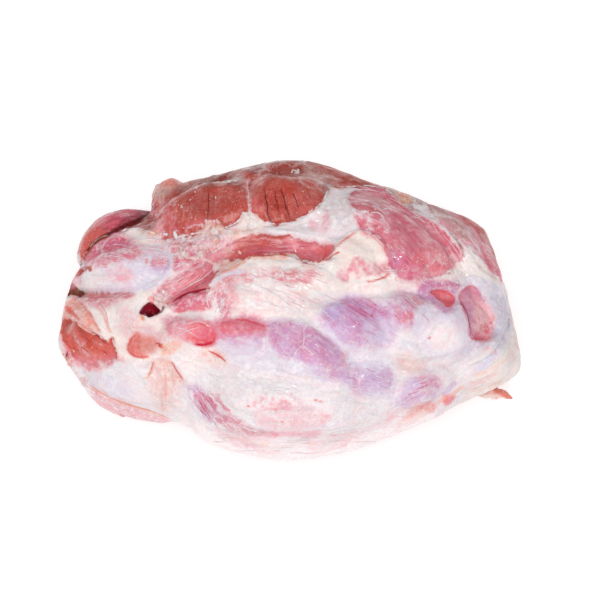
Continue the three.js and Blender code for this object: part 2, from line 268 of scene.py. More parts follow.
# Edges where one layer lies over the next, raised on the left of the line: points, step, reach, lip
LAYERS = [
    ([(44, 44), (34, 39), (22, 37), (12, 38), (4, 43), (-10, 44), (-20, 43.5), (-30, 43), (-36, 39),
      (-44, 33), (-54, 29), (-61, 23), (-67, 17), (-66, 8)], 5, 16, 1.6),
    ([(88, 36), (84, 50), (74, 60), (60, 65), (48, 60), (40, 52), (37, 46)], 3, 14, 4),
    ([(36, 104), (66, 103), (84, 97), (104, 84), (122, 74), (140, 58), (150, 42)], -1.8, 12, 3),
    ([(-96, -95), (-112, -90), (-132, -83), (-150, -76), (-166, -62), (-180, -44)], 2.2, 16, 3.5),
    ([(24, 106), (32, 100), (30, 90), (24, 84), (8, 75), (-10, 70), (-22, 71), (-36, 79), (-44, 72),
      (-58, 66)], 1.6, 10, 3),
    ([(-100, -44), (-94, -52), (-87, -62)], 1.4, 6, 1.4),
    ([(-104, -46), (-103, -62), (-102, -82)], 1.2, 6, 1.4),
    ([(-122, -64), (-116, -56), (-112, -46)], 1.4, 6, 1.4),
    ([(-186, 2), (-176, -6), (-168, -16)], 1.4, 5, 1.4),
    ([(-176, 8), (-166, -2), (-158, -14), (-152, -22)], 1.6, 6, 1.4),
    ([(-162, 6), (-153, -4), (-148, -16)], 1.2, 6, 1.4),
    ([(146, -48), (160, -44), (172, -34), (180, -20), (184, -2), (182, 10)], 2, 8, 2),
    ([(148, -62), (166, -56), (180, -44), (190, -26)], 1.6, 7, 2),
    ([(-118, -41), (-124, -41.5), (-130, -39), (-133.5, -33), (-132, -26), (-127, -20.5)], 1.4, 6, 1.6),
    ([(-166, -20), (-158, -23), (-150, -28), (-146, -24), (-143, -34), (-141, -44)], 2.5, 9, 1.2),
]
OVAL_WINDOW = [
    (143, 9), (146, 15), (150, 19), (155, 19), (160, 14), (163, 6), (168, 0), (172, -8), (171, -18),
    (168, -25), (162, -27), (155, -26), (152, -20), (151, -10), (148, -3), (145, 3),
]
SMALL_WINDOW = [(118, 13), (124, 15), (131, 15), (136, 12), (139, 7), (136, 2), (133, 1), (129, 4), (125, 8)]
# Openings torn or cut in the membrane: outline, depth, edge
PITS = [
    ([(-123, -4), (-121, 0), (-118, 3), (-115, 4), (-111, 2), (-108, 0.5), (-104, 1.5), (-106, -3),
      (-110, -5), (-116, -7), (-119, -5)], 11, 3),
    (OVAL_WINDOW, 2.6, 2.5), (SMALL_WINDOW, 2.2, 2),
    ([(-186, -9), (-176, -12), (-166, -20), (-154, -27), (-150, -28), (-147, -24), (-144, -34), (-142, -44),
      (-158, -50), (-172, -46), (-183, -28)], 1.5, 2.5),
    ([(-178, 27), (-174, 33), (-167, 34), (-170, 31), (-174, 27)], 4, 2),
]


def face_rise(spots):
    height = np.zeros(len(spots))
    for points, half, depth in GROOVES:
        off, _, along = nearest(spots, smooth_line(points))
        fade = smooth(np.minimum(along, 1 - along), 0, 0.12)
        height -= depth * fade * np.maximum(1 - (off / half) ** 2, 0) ** 1.5
    for points, step, reach, lip in LAYERS:
        off, hand, along = nearest(spots, smooth_line(points))
        fade = smooth(np.minimum(along, 1 - along), 0, 0.1)
        height += step * fade * smooth(off * hand, -lip / 2, lip / 2) * np.exp(-((off / reach) ** 2))
    for points, depth, edge in PITS:
        height -= depth * smooth(depth_within(spots, smooth_line(points, True, 6)), -edge / 3, edge)
    return height


def ball(steps):
    """A unit ball of even triangles: an icosahedron with each edge cut in steps, blown up."""
    g = (1 + 5**0.5) / 2
    corners = np.array([(-1, g, 0), (1, g, 0), (-1, -g, 0), (1, -g, 0), (0, -1, g), (0, 1, g), (0, -1, -g),
                        (0, 1, -g), (g, 0, -1), (g, 0, 1), (-g, 0, -1), (-g, 0, 1)], float)
    sides = [(0, 11, 5), (0, 5, 1), (0, 1, 7), (0, 7, 10), (0, 10, 11), (1, 5, 9), (5, 11, 4), (11, 10, 2),
             (10, 7, 6), (7, 1, 8), (3, 9, 4), (3, 4, 2), (3, 2, 6), (3, 6, 8), (3, 8, 9), (4, 9, 5), (2, 4, 11),
             (6, 2, 10), (8, 6, 7), (9, 8, 1)]
    grid = [(i, j) for i in range(steps + 1) for j in range(steps + 1 - i)]
    where = {ij: n for n, ij in enumerate(grid)}
    share = np.array([(steps - i - j, i, j) for i, j in grid]) / steps
    cells = []
    for i in range(steps):
        for j in range(steps - i):
            cells.append((where[i, j], where[i + 1, j], where[i, j + 1]))
            if i + j < steps - 1:
                cells.append((where[i + 1, j], where[i + 1, j + 1], where[i, j + 1]))
    points = np.vstack([share @ corners[list(s)] for s in sides])
    faces = np.vstack([np.array(cells) + n * len(grid) for n in range(len(sides))])
    points /= np.linalg.norm(points, axis=1)[:, None]
    rounded_off = np.round(points * 1e5).astype(int)
    _, first, merged = np.unique(rounded_off, axis=0, return_index=True, return_inverse=True)
    return points[first], merged.ravel()[faces]


STEPS = 99
FACE_SHARE = 0.5  # how far the grid is pushed to the face, where it has to be finest
unit_ball, faces = ball(STEPS)
p = (unit_ball + FACE_SHARE * FACE[2]) * (HALF_LENGTH, HALF_WIDTH, HALF_HEIGHT)
p /= fill(p)[:, None]
out = skin_normal(p)
facing = out @ FACE[2]
in_rim = smooth(np.abs(facing), 0, RIM_BAND)
waves = sum(rise * np.sin(2 * math.pi * (p @ np.array(way)) / (length * np.linalg.norm(way)) + start)
            for rise, length, way, start in WAVES)
relief = in_rim * (belly_rise(p) - MEAN_RISE + waves)
rounded = p + out * over_lumps(p, out, relief)[:, None]
fold = noises(rounded, (26, 0.8, 1), (11, 0.5, 2), (5, 0.22, 3))
fine = face_rise(as_seen(rounded)) * smooth(facing, 0.02, 0.25) + fold * smooth(np.abs(facing), 0, 0.2)
p = rounded + out * fine[:, None]
p[:, 2] = rounded_max(p[:, 2] + MIDDLE_HEIGHT, 0, SAG) - MIDDLE_HEIGHT

# THE MEAT'S COLOURS
# Raw beef: bare muscle is brick red to pink, its membranes are white to lilac and its fat is cream. Two
# coats are laid, flesh below and skin above, with how far each point is inside the bare flesh.
count = len(p)
SHADES = {
    "brown": "b84c3f", "dark brown": "7c342c", "dusk": "984a45", "salmon": "cc6460", "brick": "cb4c3c",
    "maroon": "54101e", "crimson": "9c142c", "cherry": "d42c48", "coral": "de5f58", "rose": "cc5870",
    "magenta": "cc5480", "warm rose": "e46c76", "pink": "dc7a8c", "pale pink": "e29eac", "blush": "e8b8be",
    "peach": "eab6a2", "orange": "cf5a34", "apricot": "e0986e", "cream": "ece2da", "ivory": "f0e8e2",
    "white": "e6e0e2", "lilac white": "dcd6e4", "lilac": "c8b0d4", "violet": "b49ccc", "mauve": "c490bc",
    "blue grey": "c2c8da", "taupe": "b0948e", "olive": "746a40", "umber": "6a3212",
    "wine": "7a1430", "dun": "d6ac9e", "shell": "e18c7d", "painted glare": "faf4f4", "crease shade": "5e1c18",
}


def colour(shade):
    """A linear colour from its name."""
    c = np.array([int(SHADES[shade][i:i + 2], 16) for i in (0, 2, 4)]) / 255
    return np.where(c <= 0.04045, c / 12.92, ((c + 0.055) / 1.055) ** 2.4)


def normals(points):
    """The skin's normals at its own points."""
    a, b, c = (points[faces[:, i]] for i in range(3))
    flat = np.cross(b - a, c - a)
    ends, n = faces.ravel(), len(points)
    total = np.stack([np.bincount(ends, np.repeat(flat[:, i], 3), n) for i in range(3)], axis=1)
    return total / np.linalg.norm(total, axis=1)[:, None]


out = normals(p)
flesh = np.tile(colour("brown"), (count, 1))
skin = np.tile(colour("white"), (count, 1))
BARE_RANGE = 6  # mm from a border at which a point is wholly skin or flesh
bare = np.full(count, -float(BARE_RANGE))
veil = np.full(count, 0.45)
wander = np.stack([noises(p, (9, 1.6, s), (3.5, 0.9, s + 5)) for s in (11, 12)], axis=1)
mottle = noises(p, (7, 0.6, 21), (3, 0.4, 22))
broad = noises(p, (42, 1, 31), (16, 0.45, 32))
BELOW = side((1, 0, 0), (0, -1, 0))


def seen(view):
    """Where a view shows each point, and how much of the point's skin it shows."""
    if view is FACE:
        return as_seen(p), smooth(out @ FACE[2] + 0.12 * broad, -0.3, -0.12)
    return np.stack([p @ view[0], p @ view[1]], axis=1), smooth(out @ view[2] + 0.1 * broad, 0.15, 0.5)


SEEN = {id(view): seen(view) for view in (FACE, BACK, FRONT, THICK_END, THIN_END, BELOW)}


def close_to(line, reach, spots, shown):
    """Which of the shown spots are near a line, boxed in."""
    inside = (spots > line.min(0) - reach) & (spots < line.max(0) + reach)
    return np.flatnonzero(inside.all(axis=1) & (shown > 0))


def area(points, shade, layer=None, soft=2.5, strength=1.0, patchy=0.0, film=None, view=FACE, ragged=1.0):
    """Lays a shade inside an outline. The layer flesh bares the muscle, skin covers it, and none tints
    both. film is how full of white strands it is and patchy how much it breaks up."""
    spots, shown = SEEN[id(view)]
    outline = smooth_line(points, True, 6)
    at = close_to(outline, soft + 7, spots, shown)
    inside = depth_within(spots[at] + ragged * wander[at], outline)
    if patchy:
        inside = np.minimum(inside, (mottle[at] + 1 - 2 * patchy) * 6)
    cover = smooth(inside, -soft / 2, soft / 2) * strength * shown[at]
    inside = np.minimum(inside, 16 * shown[at] - 8)
    if layer == "flesh":
        grown = smooth(inside, -5, -2) * strength * shown[at]
        flesh[at] += (colour(shade) - flesh[at]) * grown[:, None]
        bare[at] = np.maximum(bare[at], inside)
    else:
        skin[at] += (colour(shade) - skin[at]) * cover[:, None]
        if layer == "skin":
            bare[at] = np.minimum(bare[at], -inside)
        else:
            flesh[at] += (colour(shade) - flesh[at]) * cover[:, None]
    if film is not None:
        veil[at] += (film - veil[at]) * cover


def stripe(points, shade, half=1.2, strength=1.0, ragged=0.5, taper=0.15, layer=None, view=FACE):
    """Draws a soft line of a shade."""
    spots, shown = SEEN[id(view)]
    line = smooth_line(points)
    at = close_to(line, half + 5, spots, shown)
    off, _, along = nearest(spots[at] + ragged * wander[at], line)
    cover = strength * smooth(half * 1.5 - off, 0, half) * smooth(np.minimum(along, 1 - along), 0, taper)
    cover = cover * shown[at]
    for coat in (flesh, skin):
        coat[at] += (colour(shade) - coat[at]) * cover[:, None]
    veil[at] *= 1 - cover
    if layer == "skin":
        bare[at] = np.where(cover > 0.3, np.minimum(bare[at], (off - half) * 1.0 - 0.5), bare[at])


# Away from the camera: lean bellies parted by white seams on the back, fascia on the front, cut ends
bare[:] = np.where(out[:, 1] > -0.2, 5, -5)
flesh[:] = colour("dusk") * (1 + 0.2 * mottle[:, None])
skin[:] = colour("white") * (1 + 0.05 * mottle[:, None])
area([(-190, 40), (-60, 50), (60, 50), (190, 40), (190, -60), (-190, -60)], "brown", "flesh", 9, view=BACK)
area([(-170, -2), (-120, 16), (-70, 12), (-56, -14), (-76, -40), (-140, -40), (-168, -26)], "salmon", None,
     14, 0.6, view=BACK)
area([(-48, 24), (10, 26), (52, 14), (60, -16), (30, -38), (-30, -40), (-50, -14)], "dusk", None, 14, 0.8,
     view=BACK)
area([(66, 10), (110, 20), (150, 6), (160, -20), (120, -40), (76, -34)], "salmon", None, 14, 0.5, view=BACK)
for seam in ([(-62, 40), (-58, 10), (-66, -20), (-60, -50)], [(58, 40), (66, 8), (60, -20), (74, -50)],
             [(-180, -30), (-120, -22), (-60, -30), (0, -24), (60, -34), (130, -26), (176, -34)],
             [(-20, 44), (-10, 20), (-16, 0), (-6, -26)], [(120, 24), (112, 0), (124, -24)]):
    stripe(seam, "lilac white", 1.7, 0.9, 2.0, 0.1, "skin", BACK)
area([(-150, 16), (-120, 22), (-96, 8), (-104, -8), (-136, -10), (-156, 2)], "ivory", "skin", 5, patchy=0.42,
     view=BACK)
area([(96, -8), (124, -2), (150, -14), (144, -30), (110, -32), (94, -22)], "cream", "skin", 5, patchy=0.4,
     view=BACK)
area([(-30, -20), (20, -14), (50, -24), (40, -40), (-20, -42), (-44, -32)], "white", "skin", 5, patchy=0.5,
     film=0.9, view=BACK)
area([(-190, 60), (190, 60), (190, -60), (-190, -60)], "white", "skin", 8, film=0.7, view=FRONT)
area([(-150, -12), (-100, 0), (-60, -16), (-70, -40), (-130, -44)], "pale pink", None, 16, 0.8, view=FRONT)
area([(-30, -22), (30, -14), (70, -24), (60, -42), (-20, -42)], "blush", None, 16, 0.8, view=FRONT)
area([(84, -14), (130, -6), (160, -24), (140, -42), (90, -40)], "mauve", None, 18, 0.5, view=FRONT)
area([(-190, -22), (-60, -28), (60, -26), (190, -20), (190, -60), (-190, -60)], "pale pink", None, 22, 0.9,
     view=FRONT)
area([(-190, -34), (-60, -38), (60, -37), (190, -32), (190, -60), (-190, -60)], "pink", None, 12, 0.8,
     view=FRONT)
area([(-186, -36), (-150, -41), (-110, -36), (-70, -44), (-20, -40), (30, -47), (80, -40), (130, -46),
     (186, -35), (186, -62), (-186, -62)], "salmon", "flesh", 9, film=0.9, view=FRONT, ragged=3)
area([(-170, -36), (-110, -42), (-40, -43), (50, -44), (120, -42), (180, -38), (180, -52), (-170, -52)],
     "blush", "skin", 6, patchy=0.56, film=0.9, view=FRONT)
END_ON = [(-140, 60), (140, 60), (140, -60), (-140, -60)]
FROM_BELOW = [(-190, 130), (190, 130), (190, -130), (-190, -130)]
area(END_ON, "cream", "skin", 8, film=0.5, view=THICK_END)
area([(-60, 8), (-30, 20), (10, 14), (30, -8), (10, -30), (-40, -32), (-64, -14)], "rose", "flesh", 4,
     view=THICK_END, ragged=2)
area([(44, 16), (70, 22), (96, 6), (92, -20), (60, -30), (42, -10)], "brick", "flesh", 4, view=THICK_END,
     ragged=2)
area([(-120, -8), (-90, 2), (-74, -14), (-86, -34), (-116, -30)], "blush", None, 14, 0.9, view=THICK_END)
area(END_ON, "brick", "flesh", 8, film=0.4, view=THIN_END)
area([(-60, 6), (-20, 12), (14, 4), (20, -22), (-16, -34), (-56, -24)], "blush", "skin", 6, patchy=0.3,
     film=0.8, view=THIN_END)
area([(34, 0), (60, 10), (84, 0), (84, -26), (50, -34)], "white", "skin", 6, patchy=0.35, view=THIN_END)
area(FROM_BELOW, "pink", None, 8, view=BELOW)
area(FROM_BELOW, "salmon", "flesh", 8, film=0.8, view=BELOW)
area([(-150, 60), (-90, 80), (-30, 50), (-40, -20), (-90, -50), (-150, -20)], "brown", None, 26, 0.6,
     view=BELOW)
area([(20, 70), (90, 80), (140, 30), (110, -40), (40, -30)], "rose", None, 26, 0.5, view=BELOW)
for seam in ([(-170, 20), (-80, 0), (20, 30), (170, 10)], [(-60, 100), (-40, 20), (-66, -70)],
             [(60, 100), (80, 10), (54, -72)]):
    stripe(seam, "white", 2.2, 0.9, 3.0, 0.1, "skin", BELOW)

# The face's ground: membrane over everything
area([(-200, 140), (200, 140), (220, -150), (-220, -150)], "white", "skin", 2, film=0.5)
area([(-190, 20), (-120, 30), (-60, 10), (-60, -40), (-120, -90), (-190, -60)], "ivory", None, 30, 0.7)
area([(-60, -40), (60, -60), (170, -60), (190, -20), (120, -40), (40, -20), (-60, -10)], "lilac white", None,
     30, 0.8)

# Back edge: two brown bellies, a dark band and the grey fascia along the horizon
area([(-116, 84), (-110, 98), (-98, 112), (-74, 114), (-40, 122), (0, 129), (40, 124), (90, 103), (70, 98),
      (36, 104), (0, 112), (-50, 104), (-84, 98), (-104, 88)], "dusk", "flesh", 4, film=0.9)
area([(-117, 80), (-116, 70), (-112, 60), (-104, 54), (-92, 57), (-80, 60), (-70, 64), (-58, 66), (-48, 69),
     (-40, 72), (-34, 80), (-33.5, 92), (-34, 106), (-38, 112), (-50, 113), (-62, 110), (-76, 106),
     (-86, 100), (-98, 96), (-110, 90)], "brown", "flesh", 3, film=0.12)
frayed_end = [(-118, 78), (-114, 60), (-102, 54), (-94, 62), (-96, 76), (-98, 88), (-108, 92)]
area(frayed_end, "pink", None, 9, 0.45, patchy=0.35, film=0.8)
area(frayed_end, "blush", None, 3, 0.45, patchy=0.62)
area([(-64, 112), (-44, 114), (-36, 108), (-40, 102), (-56, 103), (-72, 103)], "dark brown", None, 7, 0.7)
area([(-90, 92), (-70, 96), (-50, 92), (-52, 80), (-74, 76), (-90, 80)], "dusk", None, 12, 0.4)
area([(-96, 104), (-80, 108), (-60, 113), (-44, 116), (-60, 109), (-80, 102), (-94, 97)], "taupe", None, 4,
     0.75, film=0.9)
area([(-32.5, 106), (-24, 111), (-12, 117), (0, 119), (12, 119), (22, 116), (32, 106), (34, 98), (29, 90),
     (24, 85), (16, 79), (8, 74), (-4, 71), (-12, 70), (-20, 72), (-27, 78), (-32, 86), (-32.5, 96)], "brown",
     "flesh", 2.5, film=0.12)
area([(-31, 90), (-22, 90), (-20, 79), (-27, 78), (-30, 82)], "salmon", None, 6, 0.8)
area([(-24, 112), (0, 121), (20, 118), (30, 106), (16, 108), (-4, 110)], "dark brown", None, 8, 0.5)
area([(2, 92), (18, 94), (26, 88), (14, 80), (2, 78)], "salmon", None, 10, 0.3)
stripe([(-33, 110), (-33.5, 100), (-32.5, 90), (-32, 80)], "blush", 0.8, 0.7, 0.4, 0.1)
# Painted shade: dark wine lines along the creases of the brown bellies.
for crease in ([(-20, 100), (-18, 92), (-17, 82), (-16, 75), (-13, 71)],
               [(-6, 101), (-4, 94), (-1, 84), (1, 77), (3, 73)], [(4, 98), (6, 90), (9, 82)],
               [(-9.5, 98), (-9.5, 86), (-8, 76)], [(-67, 101), (-66, 86), (-67, 70)],
               [(-50, 104), (-53, 100), (-57, 98)], [(-88, 70), (-83, 66), (-79, 62)], [(-24, 94), (-23, 84)],
               [(14, 96), (16, 88)], [(-44, 96), (-43, 84)]):
    stripe(crease, "wine", 0.6, 0.4, 0.2, 0.25)
area([(16, 122), (40, 120), (62, 112), (84, 102), (78, 98), (60, 100), (44, 101), (34, 104), (26, 108)],
     "brown", "flesh", 3, film=0.15)
area([(30, 116), (60, 108), (76, 100), (60, 102), (40, 108)], "dark brown", None, 6, 0.35, patchy=0.35)
area([(12, 120), (26, 119), (40, 106), (34, 98), (28, 100), (18, 110)], "taupe", None, 6, 0.6, film=0.9)
area([(-40, 119), (0, 126), (40, 121), (62, 112), (40, 117), (0, 122.5), (-40, 115)], "taupe", None, 3, 0.5,
     film=0.8)

area([(-118, 84), (-116, 100), (-104, 116), (-92, 120), (-82, 114), (-86, 104), (-100, 96), (-108, 88)],
     "dun", None, 4, 0.95, film=0.5)
area([(-110, 104), (-104, 114), (-92, 120), (-84, 114), (-92, 106), (-102, 102)], "shell", None, 4, 0.9,
     film=0.2)
area([(-106, 98), (-98, 106), (-90, 104), (-96, 96)], "salmon", None, 5, 0.5, patchy=0.4)
stripe([(-117, 86), (-108, 93), (-96, 98), (-84, 103), (-70, 108)], "dusk", 3.0, 0.5, 1.0)
stripe([(-112, 92), (-106, 96), (-98, 98)], "taupe", 2.4, 0.6, 1.0)

# White fat band below the brown bellies, its tatters, and the cream pads
area([(-70, 62), (-58, 65), (-46, 68), (-38, 78), (-32, 79), (-24, 72), (-6, 70), (8, 73), (20, 80), (28, 86),
     (34, 99), (46, 98), (54, 86), (60, 76), (58, 66), (52, 60), (44, 56), (34, 54), (20, 56), (4, 60),
     (-20, 62), (-38, 60), (-50, 52), (-62, 44), (-72, 48)], "white", "skin", 3, film=0.6)
area([(-118, 56), (-104, 64), (-88, 66), (-70, 72), (-52, 73), (-42, 66), (-56, 54), (-84, 48), (-110, 46)],
     "blush", "skin", 3, patchy=0.5, film=0.4)
area([(-118, 56), (-104, 60), (-88, 62), (-70, 66), (-56, 60), (-84, 48), (-110, 46)], "ivory", None, 5, 0.7,
     patchy=0.5)
area([(-78, 58), (-70, 68), (-60, 70), (-50, 66), (-54, 56), (-66, 53)], "dun", "skin", 3, patchy=0.38,
     film=0.3)
area([(-76, 58), (-70, 66), (-60, 68), (-52, 64), (-56, 56), (-66, 54)], "ivory", None, 3, 0.8, patchy=0.5)
area([(-42, 64), (-40, 76), (-33, 81), (-26, 76), (-18, 70), (-22, 63), (-32, 62)], "ivory", "skin", 2.5)
area([(-42, 70), (-36, 78), (-28, 78), (-24, 71), (-34, 70)], "dun", None, 3, 0.6, patchy=0.5)
area([(-116, 66), (-100, 66), (-84, 70), (-70, 74), (-84, 62), (-100, 56)], "pink", None, 6, 0.5, patchy=0.5)
area([(-64, 58), (-50, 64), (-34, 66), (-30, 62), (-42, 56), (-56, 46), (-64, 50)], "peach", None, 6, 0.75,
     patchy=0.35)
area([(-68, 52), (-54, 62), (-40, 64), (-48, 54), (-58, 44)], "apricot", None, 4, 0.5, patchy=0.55)
area([(20, 78), (32, 82), (36, 70), (32, 64), (20, 66)], "pink", None, 5, 0.55, patchy=0.45)
area([(44, 92), (56, 94), (60, 84), (52, 76), (44, 82)], "taupe", None, 8, 0.4, film=0.9)
area([(38, 52), (48, 58), (58, 64), (68, 62), (76, 56), (80, 48), (84, 40), (86, 32), (82, 26), (72, 22),
     (60, 18), (44, 16), (30, 20), (34, 36), (40, 42)], "cream", "skin", 3, film=0.2)
area([(20, 36), (34, 38), (44, 30), (60, 20), (40, 14), (24, 16), (14, 26)], "ivory", "skin", 5)
area([(54, 42), (62, 42), (64, 30), (58, 22), (50, 24), (50, 34)], "pink", None, 4, 0.8, patchy=0.5)
area([(42, 30), (54, 32), (58, 24), (46, 22)], "pale pink", None, 4, 0.8, patchy=0.4)
area([(62, 34), (74, 35), (86, 37), (92, 30), (84, 25), (70, 25)], "salmon", None, 2, 0.8, patchy=0.55,
     film=0.5)
area([(60, 36), (76, 37), (90, 38), (94, 29), (84, 24), (68, 24)], "pink", None, 5, 0.6, patchy=0.3)
area([(66, 26), (80, 28), (96, 30), (106, 20), (92, 14), (70, 16)], "ivory", "skin", 3)
stripe([(64, 22), (72, 22.5), (80, 26), (86, 31)], "coral", 0.9, 0.8)
stripe([(40, 51), (48, 57), (57, 64)], "coral", 0.8, 0.8)
stripe([(26, 37.5), (33, 40), (38, 44), (44, 47.5)], "orange", 0.7, 0.7)
stripe([(58, 66), (70, 60), (78, 52), (82, 44)], "peach", 1.4, 0.6)

# The long purple-pink belly
area([(50, 90), (56, 97), (68, 99), (80, 98), (90, 91), (100, 86), (110, 80), (122, 73), (130, 66), (138, 60),
     (142, 50), (143, 42), (140, 34), (132, 29), (120, 26), (110, 22), (100, 24), (92, 29), (86, 36),
     (82, 44), (78, 54), (72, 60), (62, 66), (58, 72), (62, 79), (56, 84)], "rose", "flesh", 3, film=0.2)
area([(50, 90), (58, 97), (72, 97), (82, 92), (80, 82), (66, 80), (54, 84)], "dusk", None, 8, 0.45)
veiled_end = [(56, 80), (72, 82), (84, 76), (84, 62), (72, 58), (60, 64)]
area(veiled_end, "pale pink", "skin", 5, patchy=0.42, film=0.9)
area(veiled_end, "pink", None, 8, 0.7)
area([(78, 58), (90, 64), (102, 54), (100, 42), (86, 40), (80, 48)], "pink", None, 10, 0.6)
area([(92, 50), (104, 50), (110, 40), (102, 32), (92, 34), (88, 42)], "magenta", None, 9, 0.8)
area([(84, 48), (90, 50), (94, 38), (88, 34), (84, 40)], "mauve", None, 6, 0.35)
area([(106, 46), (122, 50), (138, 50), (143, 40), (139, 31), (124, 27), (108, 26), (100, 32)], "warm rose",
     None, 9, 0.85, film=0.15)
area([(112, 44), (128, 47), (138, 42), (134, 32), (116, 32)], "pink", None, 5, 0.6, patchy=0.42)
area([(104, 80), (122, 74), (142, 60), (148, 44), (140, 34), (128, 46), (112, 60)], "pink", None, 16, 0.85,
     film=0.8)
area([(108, 74), (122, 70), (138, 56), (128, 52), (112, 62)], "pink", None, 10, 0.4, patchy=0.45, film=0.7)
area([(90, 30), (104, 36), (120, 30), (144, 34), (142, 26), (120, 20), (100, 18)], "pale pink", None, 7, 0.8,
     patchy=0.3, film=0.6)
area([(88, 34), (100, 40), (114, 36), (112, 28), (98, 26)], "magenta", None, 8, 0.5)
area([(110, 46), (128, 50), (140, 44), (140, 32), (122, 28), (110, 32)], "blush", None, 2, 0.5, patchy=0.64)
area([(112, 46), (122, 48), (130, 42), (120, 38)], "blush", None, 7, 0.5, patchy=0.3)
belly_middle = [(60, 90), (84, 90), (110, 76), (134, 56), (138, 36), (110, 28), (92, 36), (80, 56), (66, 76)]
area(belly_middle, "pale pink", None, 16, 0.22)
area(belly_middle, "blush", None, 1.5, 0.4, patchy=0.6)
area([(50, 92), (66, 99), (80, 97), (76, 93), (62, 93)], "pale pink", None, 4, 0.5, film=0.95)
area([(48, 88), (58, 96), (70, 92), (84, 84), (80, 72), (66, 74), (56, 80)], "lilac white", None, 2.5, 0.5,
     patchy=0.6, film=0.9)

# The slab at the back of the thick end
area([(80, 103), (92, 99), (106, 94), (118, 90), (126, 80), (120, 74), (104, 82), (92, 90), (82, 98)],
     "taupe", "skin", 3, film=0.9)
area([(90, 99), (98, 99), (105, 92), (99, 87), (92, 91)], "apricot", None, 5, 0.8)
area([(104, 86), (118, 84), (130, 74), (140, 62), (146, 54), (140, 52), (128, 66), (114, 76)], "white",
     "skin", 3, film=0.9)
area([(114, 91), (128, 88), (146, 82), (160, 74), (172, 60), (179, 42), (182, 20), (170, 27), (162, 36),
     (154, 45), (146, 55), (136, 64), (124, 74)], "pale pink", "flesh", 3, film=0.95)
area([(116, 88), (134, 82), (146, 72), (154, 60), (146, 58), (132, 70), (120, 78)], "taupe", None, 8, 0.7)
area([(138, 84), (152, 79), (168, 68), (176, 54), (182, 38), (177, 30), (170, 48), (160, 62), (148, 73)],
     "brown", None, 5, 0.8, film=0.3)
stripe([(138, 85), (152, 79), (166, 69), (176, 54), (181, 38)], "dusk", 2.2, 0.7, 1.0)
area([(158, 48), (168, 46), (174, 36), (180, 20), (172, 26), (164, 34)], "pink", None, 5, 0.8)
stripe([(142, 54), (146, 48), (149, 41)], "dusk", 1.5, 0.5, 0.4)
stripe([(134, 64), (140, 58), (144, 50)], "dusk", 1.8, 0.45, 0.5)
area([(146, 54), (156, 46), (166, 34), (176, 22), (166, 20), (152, 26), (142, 36), (148, 40)], "ivory",
     "skin", 3, film=0.6)
stripe([(118, 88), (126, 83), (134, 78)], "taupe", 1.4, 0.6)
stripe([(158, 36), (166, 29), (176, 22)], "taupe", 0.9, 0.45)

# The bare strip in the hollow behind the flap
area([(-112, 7), (-106, 17), (-96, 25), (-85, 31), (-76, 37), (-66, 44), (-54, 50), (-41, 57), (-30, 61),
     (-16, 61), (0, 60), (14, 57), (26, 53), (38, 52), (36, 44), (28, 39), (16, 37), (6, 42), (0, 45),
     (-12, 44), (-28, 43), (-38, 40), (-50, 38), (-58, 30), (-64, 22), (-68, 16), (-80, 13), (-92, 8),
     (-102, 2)], "salmon", "flesh", 2.5, film=0.15)
area([(-44, 55), (-20, 61), (0, 60), (-4, 53), (-26, 54), (-40, 50)], "brown", None, 7, 0.7)
area([(-40, 44), (-20, 50), (6, 50), (2, 45), (-20, 44)], "rose", None, 6, 0.8)
area([(-4, 57), (34, 52), (36, 44), (26, 39), (6, 44)], "pink", None, 8, 0.75, film=0.35)
area([(24, 51), (36, 51), (36, 44), (28, 42)], "coral", None, 5, 0.6, film=0.2)
for i in range(5):
    stripe([(-36 + 9 * i, 57 - 3 * (i % 3)), (-16 + 9 * i, 57.5 - 3 * (i % 3)), (4 + 7 * i,
           54 - 3 * (i % 3))], ("blush", "rose", "pale pink")[i % 3], 0.8, 0.6, 0.8, 0.4)
area([(-110, 6), (-98, 22), (-84, 32), (-68, 40), (-60, 34), (-66, 18), (-78, 13), (-96, 6)], "pink", None, 9,
     0.7, film=0.3)
area([(-100, 24), (-84, 34), (-66, 46), (-54, 53), (-58, 46), (-72, 36), (-88, 25)], "pale pink", None, 4,
     0.7, patchy=0.42, film=0.8)
area([(-72, 22), (-60, 30), (-50, 38), (-60, 38), (-72, 30)], "rose", None, 8, 0.5)
area([(-114, 4), (-110, 18), (-98, 26), (-88, 20), (-94, 4)], "pale pink", None, 14, 0.8, film=0.9)
area([(-112, 8), (-108, 18), (-100, 22), (-102, 8)], "blush", "skin", 5, patchy=0.55, film=0.9)
area([(-76, 30), (-60, 38), (-44, 50), (-50, 60), (-74, 58), (-100, 52), (-104, 34)], "pale pink", None, 8,
     0.8, film=0.6)
area([(-104, 48), (-84, 54), (-66, 56), (-54, 52), (-66, 44), (-80, 38), (-98, 32)], "salmon", None, 4, 0.75,
     patchy=0.5)
area([(-100, 44), (-82, 48), (-66, 42), (-76, 32), (-96, 34)], "pale pink", "skin", 4, film=0.9)
area([(-98, 44), (-82, 46), (-70, 38), (-80, 30), (-94, 34)], "rose", None, 2, 0.8, patchy=0.56)
for i in range(7):
    stripe([(-112 + 6 * i, 56 - 2 * i), (-102 + 6 * i, 50 - 2 * i), (-90 + 6 * i, 44 - 2 * i)],
           ("ivory", "pink", "blush")[i % 3], 1.0, 0.7, 1.4, 0.4)
area([(-64, 35), (-54, 40), (-44, 41), (-37, 40), (-40, 34), (-52, 32), (-60, 28)], "cream", "skin", 3,
     patchy=0.4)
area([(-56, 36), (-46, 39), (-40, 38), (-46, 34)], "peach", None, 3, 0.7)
stripe([(-97, 3), (-90, 9), (-82, 12.5), (-72, 14.5), (-63, 17)], "crimson", 1.7, 1, 0.2)
area([(-102, 1), (-90, 7), (-78, 12), (-65, 14), (-62, 2), (-76, -3), (-92, -3)], "pink", None, 4, 1.0,
     film=0.6)
area([(-96, 2), (-84, 8), (-68, 12), (-66, 6), (-80, 2)], "magenta", None, 6, 0.35, film=0.5)
